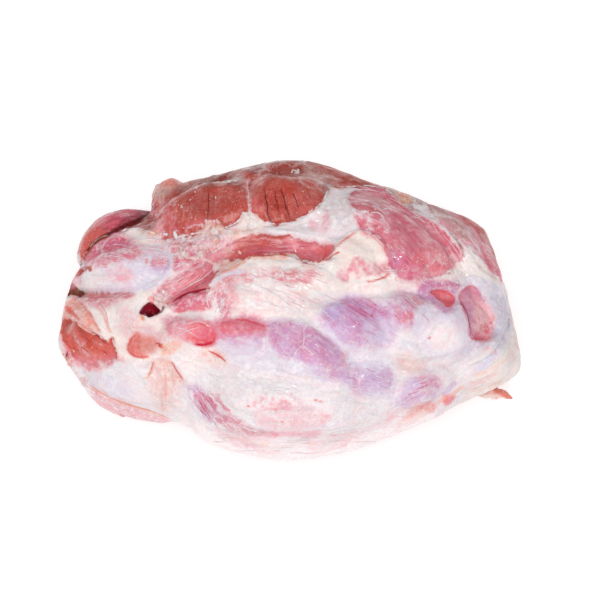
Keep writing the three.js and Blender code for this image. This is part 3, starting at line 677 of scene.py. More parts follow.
stripe([(-100, 8), (-92, 12), (-82, 16), (-72, 18)], "rose", 2.0, 0.6)

# The membrane flap
area([(-67, 17), (-60, 24), (-52, 29), (-44, 32), (-36, 38), (-30, 42), (-20, 43), (-8, 43), (2, 42),
     (12, 37), (24, 36), (34, 38), (30, 22), (26, 8), (20, -6), (0, -8), (-20, -8), (-40, -6), (-54, -8),
     (-64, 0)], "ivory", "skin", 2, film=0.95)
area([(-52, 29), (-40, 32), (-20, 32), (-4, 31), (10, 31), (26, 33), (16, 21), (-4, 21), (-24, 23), (-44, 20),
      (-58, 18)], "pink", None, 6, 0.7, patchy=0.35)
area([(-20, 34), (0, 34), (14, 32), (4, 27), (-16, 28)], "salmon", None, 4, 0.5, patchy=0.5)
area([(-66, 16), (-56, 22), (-44, 20), (-42, 6), (-50, -4), (-62, 0)], "pink", None, 9, 0.7, film=0.95)
area([(-66, 10), (-58, 16), (-52, 8), (-58, -2), (-64, 2)], "magenta", None, 6, 0.35)
area([(-59, 2), (-50, 2), (-50, -6), (-56, -8)], "magenta", None, 5, 0.6)
area([(-38, -4), (-28, -4), (-20, -8), (-24, -11), (-36, -10)], "pale pink", None, 5, 0.7)
area([(-40, 16), (-10, 16), (14, 12), (18, -4), (-10, -4), (-34, 0)], "blush", None, 14, 0.5, patchy=0.3)
stripe([(-58, 27), (-52, 31), (-45, 33.5), (-38, 37), (-34, 40)], "shell", 1.1, 0.7)
stripe([(-36, 39.5), (-30, 43.5), (-20, 44), (-10, 44.5), (2, 44)], "orange", 0.9, 1)
stripe([(-32, 41), (-22, 42), (-8, 42.5), (2, 41)], "peach", 1.7, 0.8)
stripe([(-66, 18), (-60, 23), (-52, 28), (-44, 30), (-32, 31)], "lilac white", 1.5, 1)
stripe([(30, 18), (56, 16), (86, 17), (108, 18)], "ivory", 4, 0.8)

# The rounded lobe of the thin end, and the muscle end behind it
area([(-182, 62), (-174, 74), (-160, 82), (-146, 87), (-128, 89), (-114, 92), (-112, 82), (-120, 74),
     (-134, 66), (-150, 60), (-162, 52), (-172, 40)], "salmon", "flesh", 3, film=0.1)
area([(-166, 78), (-140, 86), (-116, 90), (-114, 80), (-134, 72), (-150, 66)], "rose", None, 8, 0.85)
# Towards the cleft the muscle end darkens to wine and maroon: its own dark red, with painted shade in the cleft.
area([(-144, 67), (-130, 72), (-116, 80), (-112, 86), (-120, 86), (-134, 77)], "wine", None, 6, 0.7)
area([(-180, 54), (-170, 62), (-160, 58), (-166, 46), (-174, 40)], "brick", None, 6, 0.8)
area([(-160, 81), (-146, 86), (-132, 86), (-144, 80)], "olive", None, 3, 0.5)
area([(-142, 63), (-124, 73), (-114, 79), (-112, 68), (-122, 64)], "dusk", None, 3, 0.9, patchy=0.2, film=0.3)
area([(-160, 72), (-136, 80), (-118, 86), (-118, 82), (-136, 74), (-154, 66)], "wine", None, 2, 0.45,
     patchy=0.5)
area([(-170, 70), (-150, 80), (-124, 86), (-130, 78), (-156, 68)], "pink", None, 2, 0.6, patchy=0.55)
# Painted shade: a maroon line in the cleft under the lobe's edge.
stripe([(-168, 48), (-157, 58.5), (-142, 66), (-128, 72.5), (-116, 80)], "maroon", 2.0, 1, 0.3, 0.12)
area([(-170, 40), (-163, 52), (-156, 58), (-144, 61), (-134, 64), (-122, 66), (-110, 60), (-100, 52),
     (-96, 40), (-98, 28), (-106, 20), (-118, 15), (-140, 13), (-168, 14), (-176, 22), (-177, 32)],
     "lilac white", "skin", 2.5, film=0.5)
area([(-140, 61), (-126, 64), (-112, 62), (-102, 56), (-112, 52), (-128, 54)], "ivory", "skin", 3)
area([(-124, 65), (-114, 66), (-108, 62), (-116, 60)], "apricot", None, 3, 0.8, patchy=0.35)
area([(-170, 40), (-160, 56), (-148, 61), (-136, 60), (-124, 52), (-124, 42), (-144, 38), (-162, 34)], "pink",
     None, 8, 0.95, film=0.7)
area([(-166, 46), (-158, 55), (-148, 59), (-138, 58), (-130, 50), (-146, 46), (-158, 42)], "magenta", None, 8,
     0.5)
area([(-156, 52), (-146, 56), (-138, 50), (-150, 46)], "rose", None, 5, 0.5, patchy=0.45)
area([(-150, 34), (-140, 36), (-131, 30), (-132, 21), (-144, 20), (-154, 26)], "blush", None, 8, 0.7)
area([(-146, 31), (-136, 32), (-133, 25), (-142, 23)], "pale pink", None, 5, 0.5, patchy=0.4)
area([(-170, 30), (-160, 32), (-152, 22), (-160, 16), (-172, 18)], "ivory", None, 8, 0.7)
area([(-114, 38), (-102, 42), (-98, 34), (-104, 28), (-114, 32)], "mauve", None, 6, 0.6)
area([(-113, 40), (-103, 41), (-102, 36), (-112, 35)], "pink", None, 4, 0.8)
area([(-116, 60), (-106, 58), (-100, 48), (-108, 44), (-118, 50)], "blush", None, 8, 0.7, patchy=0.3)
area([(-155, 36), (-151, 37), (-151, 34), (-155, 34)], "coral", None, 1.5, 0.9)
area([(-121, 40), (-117, 41), (-117, 38), (-120, 38)], "coral", None, 1.5, 0.6)
# Painted shade: a dark red line along the cleft under the lobe's edge.
stripe([(-172, 42), (-168, 47.5), (-158.5, 57), (-148, 62), (-140, 65.5), (-130, 70), (-122, 74.5),
       (-115, 80)], "crease shade", 1.2, 0.9, 0.3)
area([(-181, 27), (-176, 32.5), (-168, 34.5), (-165, 33), (-170, 31), (-175, 27)], "brown", "flesh", 2,
     film=0)
stripe([(-172, 33), (-168, 33.5), (-164, 33)], "brick", 0.9, 0.7)
# The left cleft's brown-red line, darkened as painted shade in the cleft.
stripe([(-188, 10.5), (-172, 12), (-156, 12), (-142, 12), (-126, 12.5)], "dusk", 0.9, 0.7, 0.2)
area([(-190, 10), (-187, 20), (-181, 21), (-175, 15), (-170, 12.5), (-178, 10)], "umber", "flesh", 3, film=0)
area([(-188, 18), (-182, 24), (-178, 22), (-181, 16)], "dusk", None, 5, 0.7)
area([(-186, 20), (-181, 27), (-176, 29), (-172, 24), (-178, 17)], "pale pink", None, 5, 0.6)
area([(-183, 9), (-176, 10), (-175, 6), (-182, 6)], "olive", None, 2, 0.6)

# Pale fat below the cleft, with its folds, the brick-red cut patch, the hole and the oval window
area([(-188, 8), (-170, 11), (-150, 11), (-128, 11), (-112, 12), (-100, 2), (-100, -12), (-104, -24),
     (-108, -40), (-120, -46), (-142, -46), (-160, -52), (-176, -44), (-190, -20)], "ivory", "skin", 3,
     film=0.5)
area([(-182, 9), (-160, 11), (-140, 12), (-128, 11), (-140, 5), (-152, 1), (-166, 0), (-176, 4)], "pink",
     None, 6, 0.8)
area([(-182, 9), (-164, 11), (-146, 11), (-152, 7), (-172, 5)], "salmon", None, 5, 0.6)
area([(-186, 6), (-176, 6), (-168, -4), (-160, -10), (-158, -20), (-166, -20), (-174, -14), (-188, -8)],
     "peach", None, 3, 0.9, film=0.6)
area([(-180, 3), (-172, 3), (-162, -10), (-166, -16), (-174, -10)], "shell", None, 3, 0.7)
stripe([(-176, 7), (-168, -2), (-161, -12), (-156, -22)], "salmon", 1.0, 0.6, 0.4)
stripe([(-162, 3), (-154, -6), (-150, -16), (-146, -22)], "shell", 1.2, 0.6, 0.4)
stripe([(-187, -2), (-180, -5), (-174, -10)], "brick", 1.2, 0.7, 0.4)
stripe([(-187, 1), (-181, -2), (-177, -7)], "coral", 1.6, 0.9)
area([(-142, -2), (-132, 0), (-126, -10), (-128, -22), (-138, -24)], "blush", None, 8, 0.6)
area([(-190, -22), (-188, -9), (-176, -12), (-164, -20), (-151, -28), (-144, -34), (-141, -46), (-150, -54),
      (-164, -56), (-176, -50), (-186, -38)], "pink", None, 10, 0.8, film=0.3)
area([(-188, -9), (-176, -12), (-172, -17), (-164, -20), (-156, -25), (-151, -28), (-147, -24), (-145, -30),
      (-143, -42), (-152, -47), (-164, -48), (-174, -44), (-183, -36), (-190, -20)], "brick", "flesh", 2,
     film=0.05, ragged=0.4)
area([(-188, -38), (-168, -42), (-142, -40), (-136, -52), (-160, -60), (-184, -52)], "pink", None, 12, 0.9)
area([(-189, -10), (-176, -13), (-168, -20), (-172, -26), (-186, -24)], "dusk", None, 7, 0.4)
area([(-184, -16), (-168, -24), (-148, -30), (-146, -42), (-170, -44), (-184, -32)], "coral", None, 3, 0.7,
     patchy=0.5)
area([(-184, -14), (-168, -22), (-148, -29), (-146, -42), (-170, -42), (-184, -30)], "dusk", None, 2, 0.5,
     patchy=0.6)
area([(-178, -20), (-160, -28), (-147, -34), (-150, -42), (-170, -40)], "blush", None, 1.5, 0.6, patchy=0.68)
area([(-186, -40), (-170, -46), (-144, -43), (-140, -52), (-160, -58), (-182, -52)], "blush", "skin", 6,
     patchy=0.45, film=0.8)
area([(-188, -8), (-170, -30), (-140, -10), (-120, 4), (-96, -10), (-90, -60), (-110, -90), (-160, -70)],
     "peach", None, 26, 0.1)
stripe([(-166, -20), (-158, -23.5), (-152, -28)], "crimson", 0.8, 0.8)
stripe([(-184, -36), (-185, -42), (-182, -46)], "crimson", 0.9, 0.8)
# Inside the deep hole: the bared muscle's red, darkened to wine as painted shade in the hole.
area([(-124, -4), (-121, 1), (-118, 3.5), (-115, 4.5), (-111, 2.5), (-108, 1), (-103.5, 1.5), (-106, -3),
      (-110, -5.5), (-116, -7.5), (-119, -5.5)], "wine", "flesh", 1.5, film=0, ragged=0.2)
area([(-119, 1), (-114, 3), (-109, -1), (-112, -6), (-117, -4)], "crimson", None, 3, 0.8)
area([(-117, 8), (-113, 10), (-111, 7), (-113, 3), (-115, 4)], "coral", None, 1.5, 0.9, ragged=0.4)
area([(-106, 4), (-104, 8), (-101, 6), (-103, 2)], "peach", None, 2, 0.9, ragged=0.4)
area([(-124, -5), (-121, -6), (-120, -10), (-123, -10)], "apricot", None, 1.5, 0.9, ragged=0.4)
area([(-134, -34), (-131, -26), (-127, -20), (-120, -20), (-111, -24), (-107, -31), (-112, -38), (-122, -41),
      (-130, -39)], "shell", None, 8, 0.85, film=0.1, ragged=0.3)
area([(-132, -38), (-133, -28), (-128, -21), (-123, -22), (-123, -36), (-118, -40)], "coral", None, 3, 0.7,
     film=0.1, ragged=0.3)
area([(-126, -18), (-116, -13), (-104, -24), (-106, -30), (-116, -23)], "blush", None, 8, 0.8)
stripe([(-128, -21), (-132, -27), (-134, -34), (-130, -39), (-122, -41), (-114, -40)], "coral", 0.9, 0.9, 0.2)
area([(-111, -29), (-106, -33.5), (-100, -33), (-105, -30)], "brick", None, 1.5, 1, film=0, ragged=0.3)
area([(-104, -30), (-96, -28), (-88, -30), (-96, -38), (-104, -40)], "peach", None, 4, 0.8, film=0.2)

# Fascia sheet of the lower thin end, and the pink layer under its edge
area([(-184, -44), (-164, -54), (-150, -50), (-140, -44), (-120, -44), (-104, -40), (-90, -40), (-84, -60),
     (-84, -80), (-90, -92), (-104, -96), (-124, -88), (-148, -78), (-168, -64)], "white", "skin", 4,
     film=0.7)
area([(-160, -56), (-140, -60), (-130, -74), (-150, -74), (-164, -64)], "lilac white", None, 12, 0.8)
area([(-116, -46), (-104, -40), (-96, -46), (-88, -60), (-92, -80), (-104, -88), (-114, -72)], "peach", None,
     12, 0.45, film=0.6)
area([(-106, -44), (-100, -42), (-90, -56), (-86, -62), (-96, -64), (-102, -58)], "peach", None, 6, 0.5)
stripe([(-112, -44), (-114, -50), (-116, -56), (-122, -60)], "apricot", 1.0, 0.8, 0.3)
stripe([(-98, -44), (-93, -52), (-87, -60)], "salmon", 0.8, 0.8, 0.2)
stripe([(-104, -46), (-102, -60), (-103, -78)], "shell", 1.0, 0.6, 0.3)
area([(-166, -66), (-150, -72), (-136, -79), (-118, -86), (-102, -92), (-98, -98), (-120, -97), (-140, -94),
      (-160, -82)], "blush", None, 4, 0.95, film=0.95)
area([(-162, -70), (-138, -82), (-112, -92), (-120, -98), (-148, -90)], "pink", None, 3, 0.3, patchy=0.55)
stripe([(-168, -64), (-160, -69), (-146, -76), (-132, -81), (-116, -86), (-98, -93)], "peach", 1.0, 0.8)

# The row of small bellies in front of the flap
area([(-104, -10), (-92, -7), (-80, -8), (-70, -9), (-63, -13), (-60, -20), (-61, -28), (-66, -31),
     (-76, -30), (-88, -28), (-98, -22)], "pink", None, 7, 0.9, film=0.25)
area([(-104, -10), (-90, -8), (-84, -18), (-92, -26), (-102, -20)], "pale pink", None, 9, 0.6, film=0.4)
area([(-82, -12), (-68, -11), (-61, -18), (-61, -28), (-68, -31), (-78, -30), (-84, -20)], "warm rose", None,
     7, 1.0, film=0.1)
area([(-76, -15), (-64, -14), (-60, -28), (-72, -32), (-79, -24)], "cherry", None, 8, 0.4, film=0.05)
area([(-80, -14), (-66, -13), (-62, -26), (-72, -28)], "pink", None, 2, 0.6, patchy=0.55)
stripe([(-78, -30), (-70, -30.5), (-62.5, -28)], "cherry", 1.0, 1, 0.3)
area([(-60, -12), (-50, -11), (-40, -10), (-28, -12), (-18, -16), (-18, -24), (-24, -32), (-38, -36),
     (-52, -33), (-58, -24)], "mauve", None, 14, 0.7, film=0.3)
area([(-60, -10), (-44, -9), (-30, -10), (-17, -15), (-20, -22), (-36, -24), (-56, -23)], "pink", None, 12,
     1.0, film=0.15)
area([(-60, -9), (-40, -8), (-20, -12), (-28, -15), (-48, -15), (-60, -15)], "cherry", None, 8, 0.35,
     film=0.1)
stripe([(-46, -10.5), (-36, -10.5), (-26, -13), (-19, -16)], "cherry", 0.9, 0.7)
area([(-54, -28), (-40, -30), (-22, -30), (-24, -40), (-44, -42), (-56, -38)], "lilac white", None, 12, 0.7)
area([(-72, -34), (-60, -34), (-50, -42), (-50, -47), (-62, -48), (-72, -42)], "peach", None, 8, 0.6)
stripe([(-67, -35), (-62, -37.5), (-56, -41), (-51, -45.5)], "coral", 0.9, 0.7, 0.15, 0.3)
area([(-16, -14), (-6, -11), (6, -12), (16, -16), (26, -21), (36, -28), (45, -37), (47, -46), (36, -51),
     (22, -48), (6, -45), (-6, -40), (-14, -30)], "mauve", None, 7, 0.9, film=0.25)
area([(-14, -15), (-2, -13), (8, -18), (6, -30), (-8, -32), (-14, -24)], "pink", None, 10, 0.2)
area([(-4, -20), (14, -18), (30, -28), (44, -42), (30, -48), (8, -42), (-6, -34)], "lilac", None, 16, 0.4)
area([(4, -18), (20, -20), (34, -30), (40, -40), (24, -44), (8, -38)], "magenta", None, 10, 0.22)
area([(-8, -40), (10, -46), (20, -50), (16, -58), (-4, -56), (-14, -48)], "lilac white", None, 8, 0.7,
     film=0.95)
area([(20, -48), (30, -52), (46, -50), (60, -49), (78, -50), (88, -54), (88, -68), (74, -72), (58, -72),
     (44, -62), (26, -58)], "lilac", None, 16, 0.75, film=0.3)
area([(50, -52), (80, -52), (84, -64), (60, -70), (44, -60)], "mauve", None, 16, 0.25)
area([(26, -50), (44, -50), (52, -56), (40, -62), (28, -58)], "mauve", None, 12, 0.35)
area([(44, -38), (56, -40), (56, -47), (44, -48)], "pink", None, 4, 0.5, patchy=0.55)

# The two lilac bellies
area([(26, -8), (30, 0), (38, 5), (48, 9), (60, 9), (70, 6), (78, 3), (86, 0), (88, -14), (88, -28),
     (76, -31), (60, -31), (46, -28), (36, -20), (28, -14)], "lilac", None, 12, 1.0, film=0.2)
area([(44, -6), (62, -8), (84, -12), (84, -26), (64, -28), (46, -24)], "mauve", None, 14, 0.3)
area([(30, -2), (40, 4), (50, 8), (44, -8), (34, -10)], "violet", None, 8, 0.6)
area([(44, 4), (58, 9), (72, 4), (82, -2), (80, -8), (66, -6), (52, -4)], "mauve", None, 8, 0.8)
for dx, dy, size in ((0, 0, 1.0), (6, -3, 0.7), (-8, -8, 0.9), (12, 3, 0.8), (2, -14, 0.7),
                     (-14, -2, 0.6), (20, -2, 0.8), (14, -12, 0.6), (24, -8, 0.6), (-4, 2, 0.6),
                     (30, 2, 0.7)):
    stripe([(48 + dx, 6 + dy), (56 + dx, 1 + dy), (64 + dx, -5 + dy)], "magenta", size * 0.8, 0.4, 1.0, 0.4)
area([(66, -12), (84, -12), (88, -26), (76, -30), (64, -24)], "lilac white", None, 10, 0.5)
area([(82, 4), (90, 12), (100, 13), (109, 10), (116, 2), (116, -6), (110, -12), (103, -17), (93, -16),
     (86, -10)], "mauve", None, 10, 0.65, film=0.2)
area([(90, 0), (104, 2), (110, -8), (102, -15), (92, -13)], "magenta", None, 5, 0.5, patchy=0.4)
area([(96, -6), (104, -4), (104, -12), (98, -12)], "cherry", None, 4, 0.4, patchy=0.5)
area([(104, 12), (112, 8), (118, -2), (114, -8), (108, 0)], "salmon", None, 6, 0.35)

# The joint tendon and its openings
area([(112, 4), (122, 0), (132, -4), (142, 6), (148, 0), (152, -12), (154, -26), (148, -36), (138, -41),
     (126, -41), (114, -34), (106, -22), (104, -8)], "lilac white", "skin", 4, film=0.3)
area([(112, -20), (130, -12), (144, -20), (140, -36), (122, -38)], "ivory", None, 10, 0.6)
area([(108, 10), (112, 20), (124, 22), (136, 23), (144, 18), (143, 8), (138, -2), (130, -5), (120, 4)],
     "mauve", None, 5, 0.9, film=0.4)
area([(110, 15), (114, 22), (126, 21), (140, 22), (142, 15), (130, 18), (118, 17)], "magenta", None, 4, 0.5)
area(SMALL_WINDOW, "warm rose", "flesh", 1.5, film=0.1, ragged=0.4)
area([(120, 13), (128, 14), (136, 10), (137, 5), (131, 4), (125, 9)], "pale pink", None, 4, 0.55, patchy=0.3)
area([(118, 14), (126, 15), (127, 10), (122, 9)], "cherry", None, 3, 0.35)
area([(129, 8), (136, 8), (137, 4), (132, 2)], "cherry", None, 3, 0.4)
area([(130, 24), (140, 26), (150, 36), (142, 40), (134, 30), (120, 26)], "ivory", "skin", 4)
area([(140, 8), (146, 22), (156, 27), (168, 22), (178, 12), (186, -6), (186, -24), (178, -44), (160, -52),
      (146, -44), (152, -28), (158, -27), (170, -24), (174, -8), (168, 4), (160, 16), (152, 20), (146, 16)],
     "lilac white", "skin", 4, film=0.8)
area([(174, 12), (180, 6), (184, -8), (178, -24), (164, -46), (158, -48), (170, -26), (176, -10)],
     "blue grey", None, 6, 0.6)
area(OVAL_WINDOW, "pink", "flesh", 1.8, film=0.15, ragged=0.5)
area([(144, 8), (150, 18), (158, 16), (162, 6), (160, -6), (152, -8), (148, 0)], "mauve", None, 6, 0.6)
area([(150, 14), (160, 12), (168, 0), (172, -12), (166, -24), (158, -18), (156, 0)], "pale pink", None, 8,
     0.8)
stripe([(145, 4), (148, -3), (151, -10), (152, -20), (155, -25)], "magenta", 1.6, 0.8, 0.2)
area([(146, 8), (150, 16), (160, 10), (166, 0), (164, -20), (154, -22)], "lilac", None, 4, 0.45, patchy=0.4)
area([(158, 16), (164, 6), (170, -2), (167, 2), (161, 10), (155, 18)], "lilac", None, 3, 0.6)
area([(156, 8), (167, 1), (173, -8), (171, -18), (166, -25), (158, -22), (155, -8)], "pale pink", None, 2,
     0.7, patchy=0.5)
area([(154, 10), (164, 4), (173, -8), (171, -18), (164, -24), (156, -14)], "blush", None, 5, 0.85, film=0.6)
area([(158, 4), (168, 0), (173, -8), (171, -18), (164, -24), (158, -14)], "blush", "skin", 2, patchy=0.62)
area([(160, 0), (168, -3), (170, -14), (165, -22), (159, -14)], "cherry", None, 2, 0.7, patchy=0.55)
area([(144, 9), (150, 19), (156, 17), (158, 6), (152, 2)], "pale pink", None, 7, 0.5)
stripe([(144, 8), (147, 2), (150, -5), (152, -14), (153, -22)], "crimson", 0.8, 0.6, 0.2)

# Lower right and the thick end's rim
area([(84, -34), (104, -36), (120, -42), (140, -44), (156, -50), (150, -66), (130, -76), (108, -88),
     (86, -96), (66, -96), (60, -80), (86, -76), (90, -56)], "white", "skin", 8, film=0.6)
area([(90, -38), (110, -42), (112, -52), (96, -54)], "peach", None, 10, 0.4)
area([(186, 22), (192, -10), (196, -36), (190, -60), (170, -74), (148, -78), (156, -58), (172, -44),
     (184, -24)], "cream", "skin", 6, film=0.8)
area([(96, -66), (104, -60), (116, -57), (126, -59), (128, -66), (122, -76), (108, -80), (96, -78)], "mauve",
     None, 14, 0.7, film=0.25)
area([(84, -78), (96, -66), (104, -61), (112, -66), (108, -78), (96, -84)], "lilac", None, 12, 0.6, film=0.6)
area([(106, -60), (118, -57), (127, -60), (124, -65), (112, -64)], "magenta", None, 7, 0.45)
area([(130, -74), (134, -71), (139, -74), (136, -80), (131, -80)], "warm rose", None, 3, 0.9)
stripe([(128, -74), (134, -68), (142, -60)], "lilac", 2.2, 0.7)
area([(88, -102), (96, -92), (104, -84), (114, -79), (124, -79), (122, -86), (108, -94), (94, -103)], "shell",
     None, 4, 0.75, film=0.4)
area([(84, -96), (98, -86), (112, -80), (104, -80), (90, -88)], "pale pink", None, 4, 0.4, patchy=0.35)
stripe([(122, -80), (136, -72), (150, -64)], "peach", 1.6, 0.7, 0.8)
area([(78, -98), (92, -92), (104, -84), (92, -84), (80, -90)], "blush", None, 9, 0.4)
stripe([(164, -34), (170, -35), (175, -38)], "shell", 1.5, 0.8)
stripe([(148, -46), (160, -42), (172, -33), (180, -20), (184, -4)], "blue grey", 2.2, 0.7, 1.0)
stripe([(186, 6), (190, -14), (190, -34), (182, -50)], "blush", 1.8, 0.4, 1.0)
stripe([(152, -58), (166, -54), (180, -44), (188, -30)], "peach", 1.8, 0.3, 1.0)
stripe([(150, -66), (162, -62), (178, -54)], "pale pink", 1.6, 0.35, 1.0)
stripe([(146, -68), (158, -68), (172, -64), (182, -58)], "peach", 1.2, 0.35, 0.8)
area([(150, -50), (160, -44), (170, -36), (164, -34), (150, -42)], "ivory", None, 5, 0.8)

# The broad front belly under its white fascia
area([(-88, -66), (-70, -58), (-40, -54), (0, -56), (40, -64), (60, -76), (66, -96), (50, -114), (0, -128),
      (-50, -118), (-84, -100)], "white", "skin", 8, film=0.85)
area([(-84, -66), (-72, -66), (-58, -82), (-50, -94), (-64, -94), (-78, -84)], "mauve", None, 7, 0.6)
for i in range(9):
    x, y = -82 + 2.6 * i, -66 - 1.6 * (i % 3)
    stripe([(x, y), (x + 7, y - 11), (x + 17, y - 23)], ("magenta", "pink", "rose")[i % 3], 0.8, 0.6, 1.4,
           0.35)
area([(-60, -88), (-50, -88), (-40, -94), (-26, -101), (-8, -105), (-28, -107), (-46, -103), (-58, -97)],
     "rose", None, 5, 0.6, film=0.7)
area([(-56, -90), (-46, -92), (-36, -98), (-46, -101), (-55, -96)], "magenta", None, 4, 0.45, patchy=0.4)
area([(-28, -88), (-16, -82), (4, -80), (24, -84), (38, -92), (30, -99), (8, -102), (-14, -101), (-26, -96)],
     "blush", None, 6, 0.6, film=0.4)
area([(-26, -74), (-10, -70), (8, -74), (4, -84), (-14, -86), (-28, -82)], "pink", None, 5, 0.75, patchy=0.5)
stripe([(-18, -106), (0, -105), (14, -105.5), (32, -103)], "pale pink", 2.4, 0.6)
# Painted highlight: the front rim is whitened almost to white, as the front light would bleach it.
area([(-80, -98), (-50, -110), (-10, -112), (40, -111), (80, -101), (120, -90), (130, -140), (-100, -140)],
     "painted glare", None, 12, 0.8, film=0.4)
layers = ("pale pink", "blush", "pale pink", "peach", "pale pink", "blush", "pink", "blush")
for i, shade in enumerate(layers):
    dip = -108 - 2.1 * i
    stripe([(-74 + 3 * i, dip + 12), (-50 + 3 * i, dip + 4), (-22, dip), (6, dip - 1)], shade, 0.8, 0.4, 1.6,
           0.3)
    stripe([(2, dip), (30, dip + 0.5), (56 - 2 * i, dip + 5), (84 - 4 * i, dip + 13)], shade, 0.8, 0.35, 1.6,
           0.3)
# A wider pass of the same painted highlight on the front rim.
area([(-90, -92), (-60, -112), (-10, -124), (50, -118), (100, -100), (120, -90), (130, -140), (-100, -140)],
     "painted glare", None, 14, 0.7, film=0.4)
for spot in ((-33, -82), (-5, -95), (23, -77), (27, -78), (103, -6), (97, -11), (118, -25), (-84, -26),
             (70, -6)):
    area([(spot[0] + 1.3 * c, spot[1] + 1.3 * s) for c, s in ((1, 0), (0, 1), (-1, 0), (0, -1))], "coral",
         None, 1.2, 0.9, ragged=0.2)

MOST_FLESH, MOST_SKIN = 0.9, 0.92  # the brightest that either coat gets
flesh, skin = np.clip(flesh, 0, MOST_FLESH), np.clip(skin, 0, MOST_SKIN)
bare = np.clip(bare, -BARE_RANGE, BARE_RANGE)

# How the grain runs on the face: across, up, turn in degrees, reach
FLOWS = [
    (-80, 82, 84, 28), (-52, 88, 90, 24), (-10, 92, 97, 24), (14, 96, 100, 22), (60, 108, -28, 26),
    (70, 78, -30, 22), (104, 62, -46, 34), (126, 40, -60, 22), (152, 62, -50, 24), (170, 36, -62, 18),
    (-150, 48, -12, 24), (-120, 36, -24, 22), (-150, 24, 4, 20), (-148, 72, 24, 20), (-112, 72, 40, 14),
    (-10, 50, 6, 26), (24, 46, -4, 16), (-60, 40, 38, 16), (-92, 18, 26, 18), (0, 70, 8, 26),
    (40, 72, 50, 16), (62, 46, 30, 16), (-24, 20, -18, 26), (10, 8, -30, 22), (-54, 6, 62, 14),
    (60, 22, 4, 20), (90, 22, 8, 18), (44, -4, -34, 20), (70, -14, -34, 20), (100, 0, -50, 16),
    (128, 12, -18, 14), (126, -20, 62, 20), (160, -4, -78, 18), (180, -20, 74, 18), (176, -48, 56, 18),
    (8, -22, -36, 22), (32, -38, -38, 20), (-36, -22, -12, 18), (-80, -18, -24, 20), (-80, 4, 22, 12),
    (-172, -4, -50, 16), (-134, -8, 70, 16), (-166, -34, -34, 20), (-120, -30, -64, 14), (-104, -62, -84, 18),
    (-140, -62, -36, 20), (-136, -88, -28, 18), (-60, -56, -30, 26), (0, -60, -6, 30), (64, -60, -8, 26),
    (112, -68, 18, 20), (110, -46, -8, 18), (-70, -88, -52, 18), (-36, -104, -18, 20), (0, -92, 0, 24),
    (0, -116, 4, 26), (48, -104, 14, 22), (96, -92, 34, 18), (146, -64, 30, 18),
]
STRETCH = 7  # how much longer the fibres are than wide
APART = 13  # how far one flow's pattern is moved from the next one's
HIDDEN_WAY = (0.94, 0.25, 0.25)
spots = as_seen(p)
score = np.stack([np.hypot(*(spots + 2 * wander - f[:2]).T) / f[3] for f in FLOWS], axis=1)
ranked = np.sort(score, axis=1)
mine = np.argmin(score, axis=1)
turns = np.radians(np.array([f[2] for f in FLOWS]))[mine]
ways = FACE[0] * np.cos(turns)[:, None] + FACE[1] * np.sin(turns)[:, None]
hidden = out @ FACE[2] < -0.15
ways[hidden] = HIDDEN_WAY
anchor = np.array([FACE[0] * f[0] + FACE[1] * f[1] for f in FLOWS])[mine]
anchor[hidden] = 0
q = p - anchor
facing = out @ FACE[2]
grain = q - ways * ((q * ways).sum(1) * (1 - 1 / STRETCH))[:, None] + APART * mine[:, None]
combed = smooth(ranked[:, 1] - ranked[:, 0], 0.02, 0.3) * smooth(np.abs(facing + 0.15), 0.01, 0.12)

# Fine relief: the skin lies a little above bare muscle, fibres and wrinkles run along the grain
open_flesh = smooth(bare, -0.8, 0.8)
ridges = noises(grain, (2.4, 0.22, 41), (4.2, 0.3, 42))
lumpy = noises(p, (6, 0.3, 43), (2.8, 0.25, 44))
for u, v, reach in ((-84, 42, 18), (-60, 60, 12), (-100, 56, 10), (74, 30, 14), (-32, 72, 8), (128, 38, 14),
                    (-102, 104, 12), (162, -10, 8), (40, 80, 12)):
    cobbled = np.exp(-((np.hypot(*(spots - (u, v)).T) / reach) ** 2)) * (facing > 0)
    lumpy += cobbled * (np.abs(noise(p, 5, 45)) * 1.5 + np.abs(noise(p, 3, 46)) * 0.8)
fine = ridges * combed + lumpy * (1 - 0.6 * open_flesh) - 0.8 * open_flesh
p = p + out * fine[:, None]
p[:, 2] = np.maximum(p[:, 2], -MIDDLE_HEIGHT + 0.02)
SMOOTHINGS = 8  # a hollow lies below the skin smoothed this often
even = p.copy()
links = np.vstack([faces[:, [0, 1]], faces[:, [1, 2]], faces[:, [2, 0]]])
valence = np.bincount(links.ravel(), minlength=count)
for _ in range(SMOOTHINGS):
    near = np.stack([np.bincount(links[:, 0], even[links[:, 1], i], count)
                     + np.bincount(links[:, 1], even[links[:, 0], i], count) for i in range(3)], axis=1)
    even = near / valence[:, None]
out = normals(p)
# How far each point lies below the smoothed skin; the shader paints shade into the hollows and light onto the
# ridges from it.
hollow = np.clip(((even - p) * out).sum(1), -2, 3)

mesh = bpy.data.meshes.new("clod_meat")
mesh.from_pydata(((p + (0, 0, MIDDLE_HEIGHT)) / 1000).tolist(), [], faces.tolist())
mesh.shade_smooth()
for name, kind, key, values in (
    ("flesh", "FLOAT_COLOR", "color", np.hstack([flesh, np.ones((count, 1))])),
    ("skin", "FLOAT_COLOR", "color", np.hstack([skin, np.ones((count, 1))])),
    ("bare", "FLOAT", "value", bare),
    ("veil", "FLOAT", "value", veil),
    ("hollow", "FLOAT", "value", hollow),
    ("combed", "FLOAT", "value", combed),
    ("grain", "FLOAT_VECTOR", "vector", grain),
):
    mesh.attributes.new(name, kind, "POINT").data.foreach_set(key, values.astype(np.float32).ravel())
clod = bpy.data.objects.new("clod_meat", mesh)
bpy.context.scene.collection.objects.link(clod)


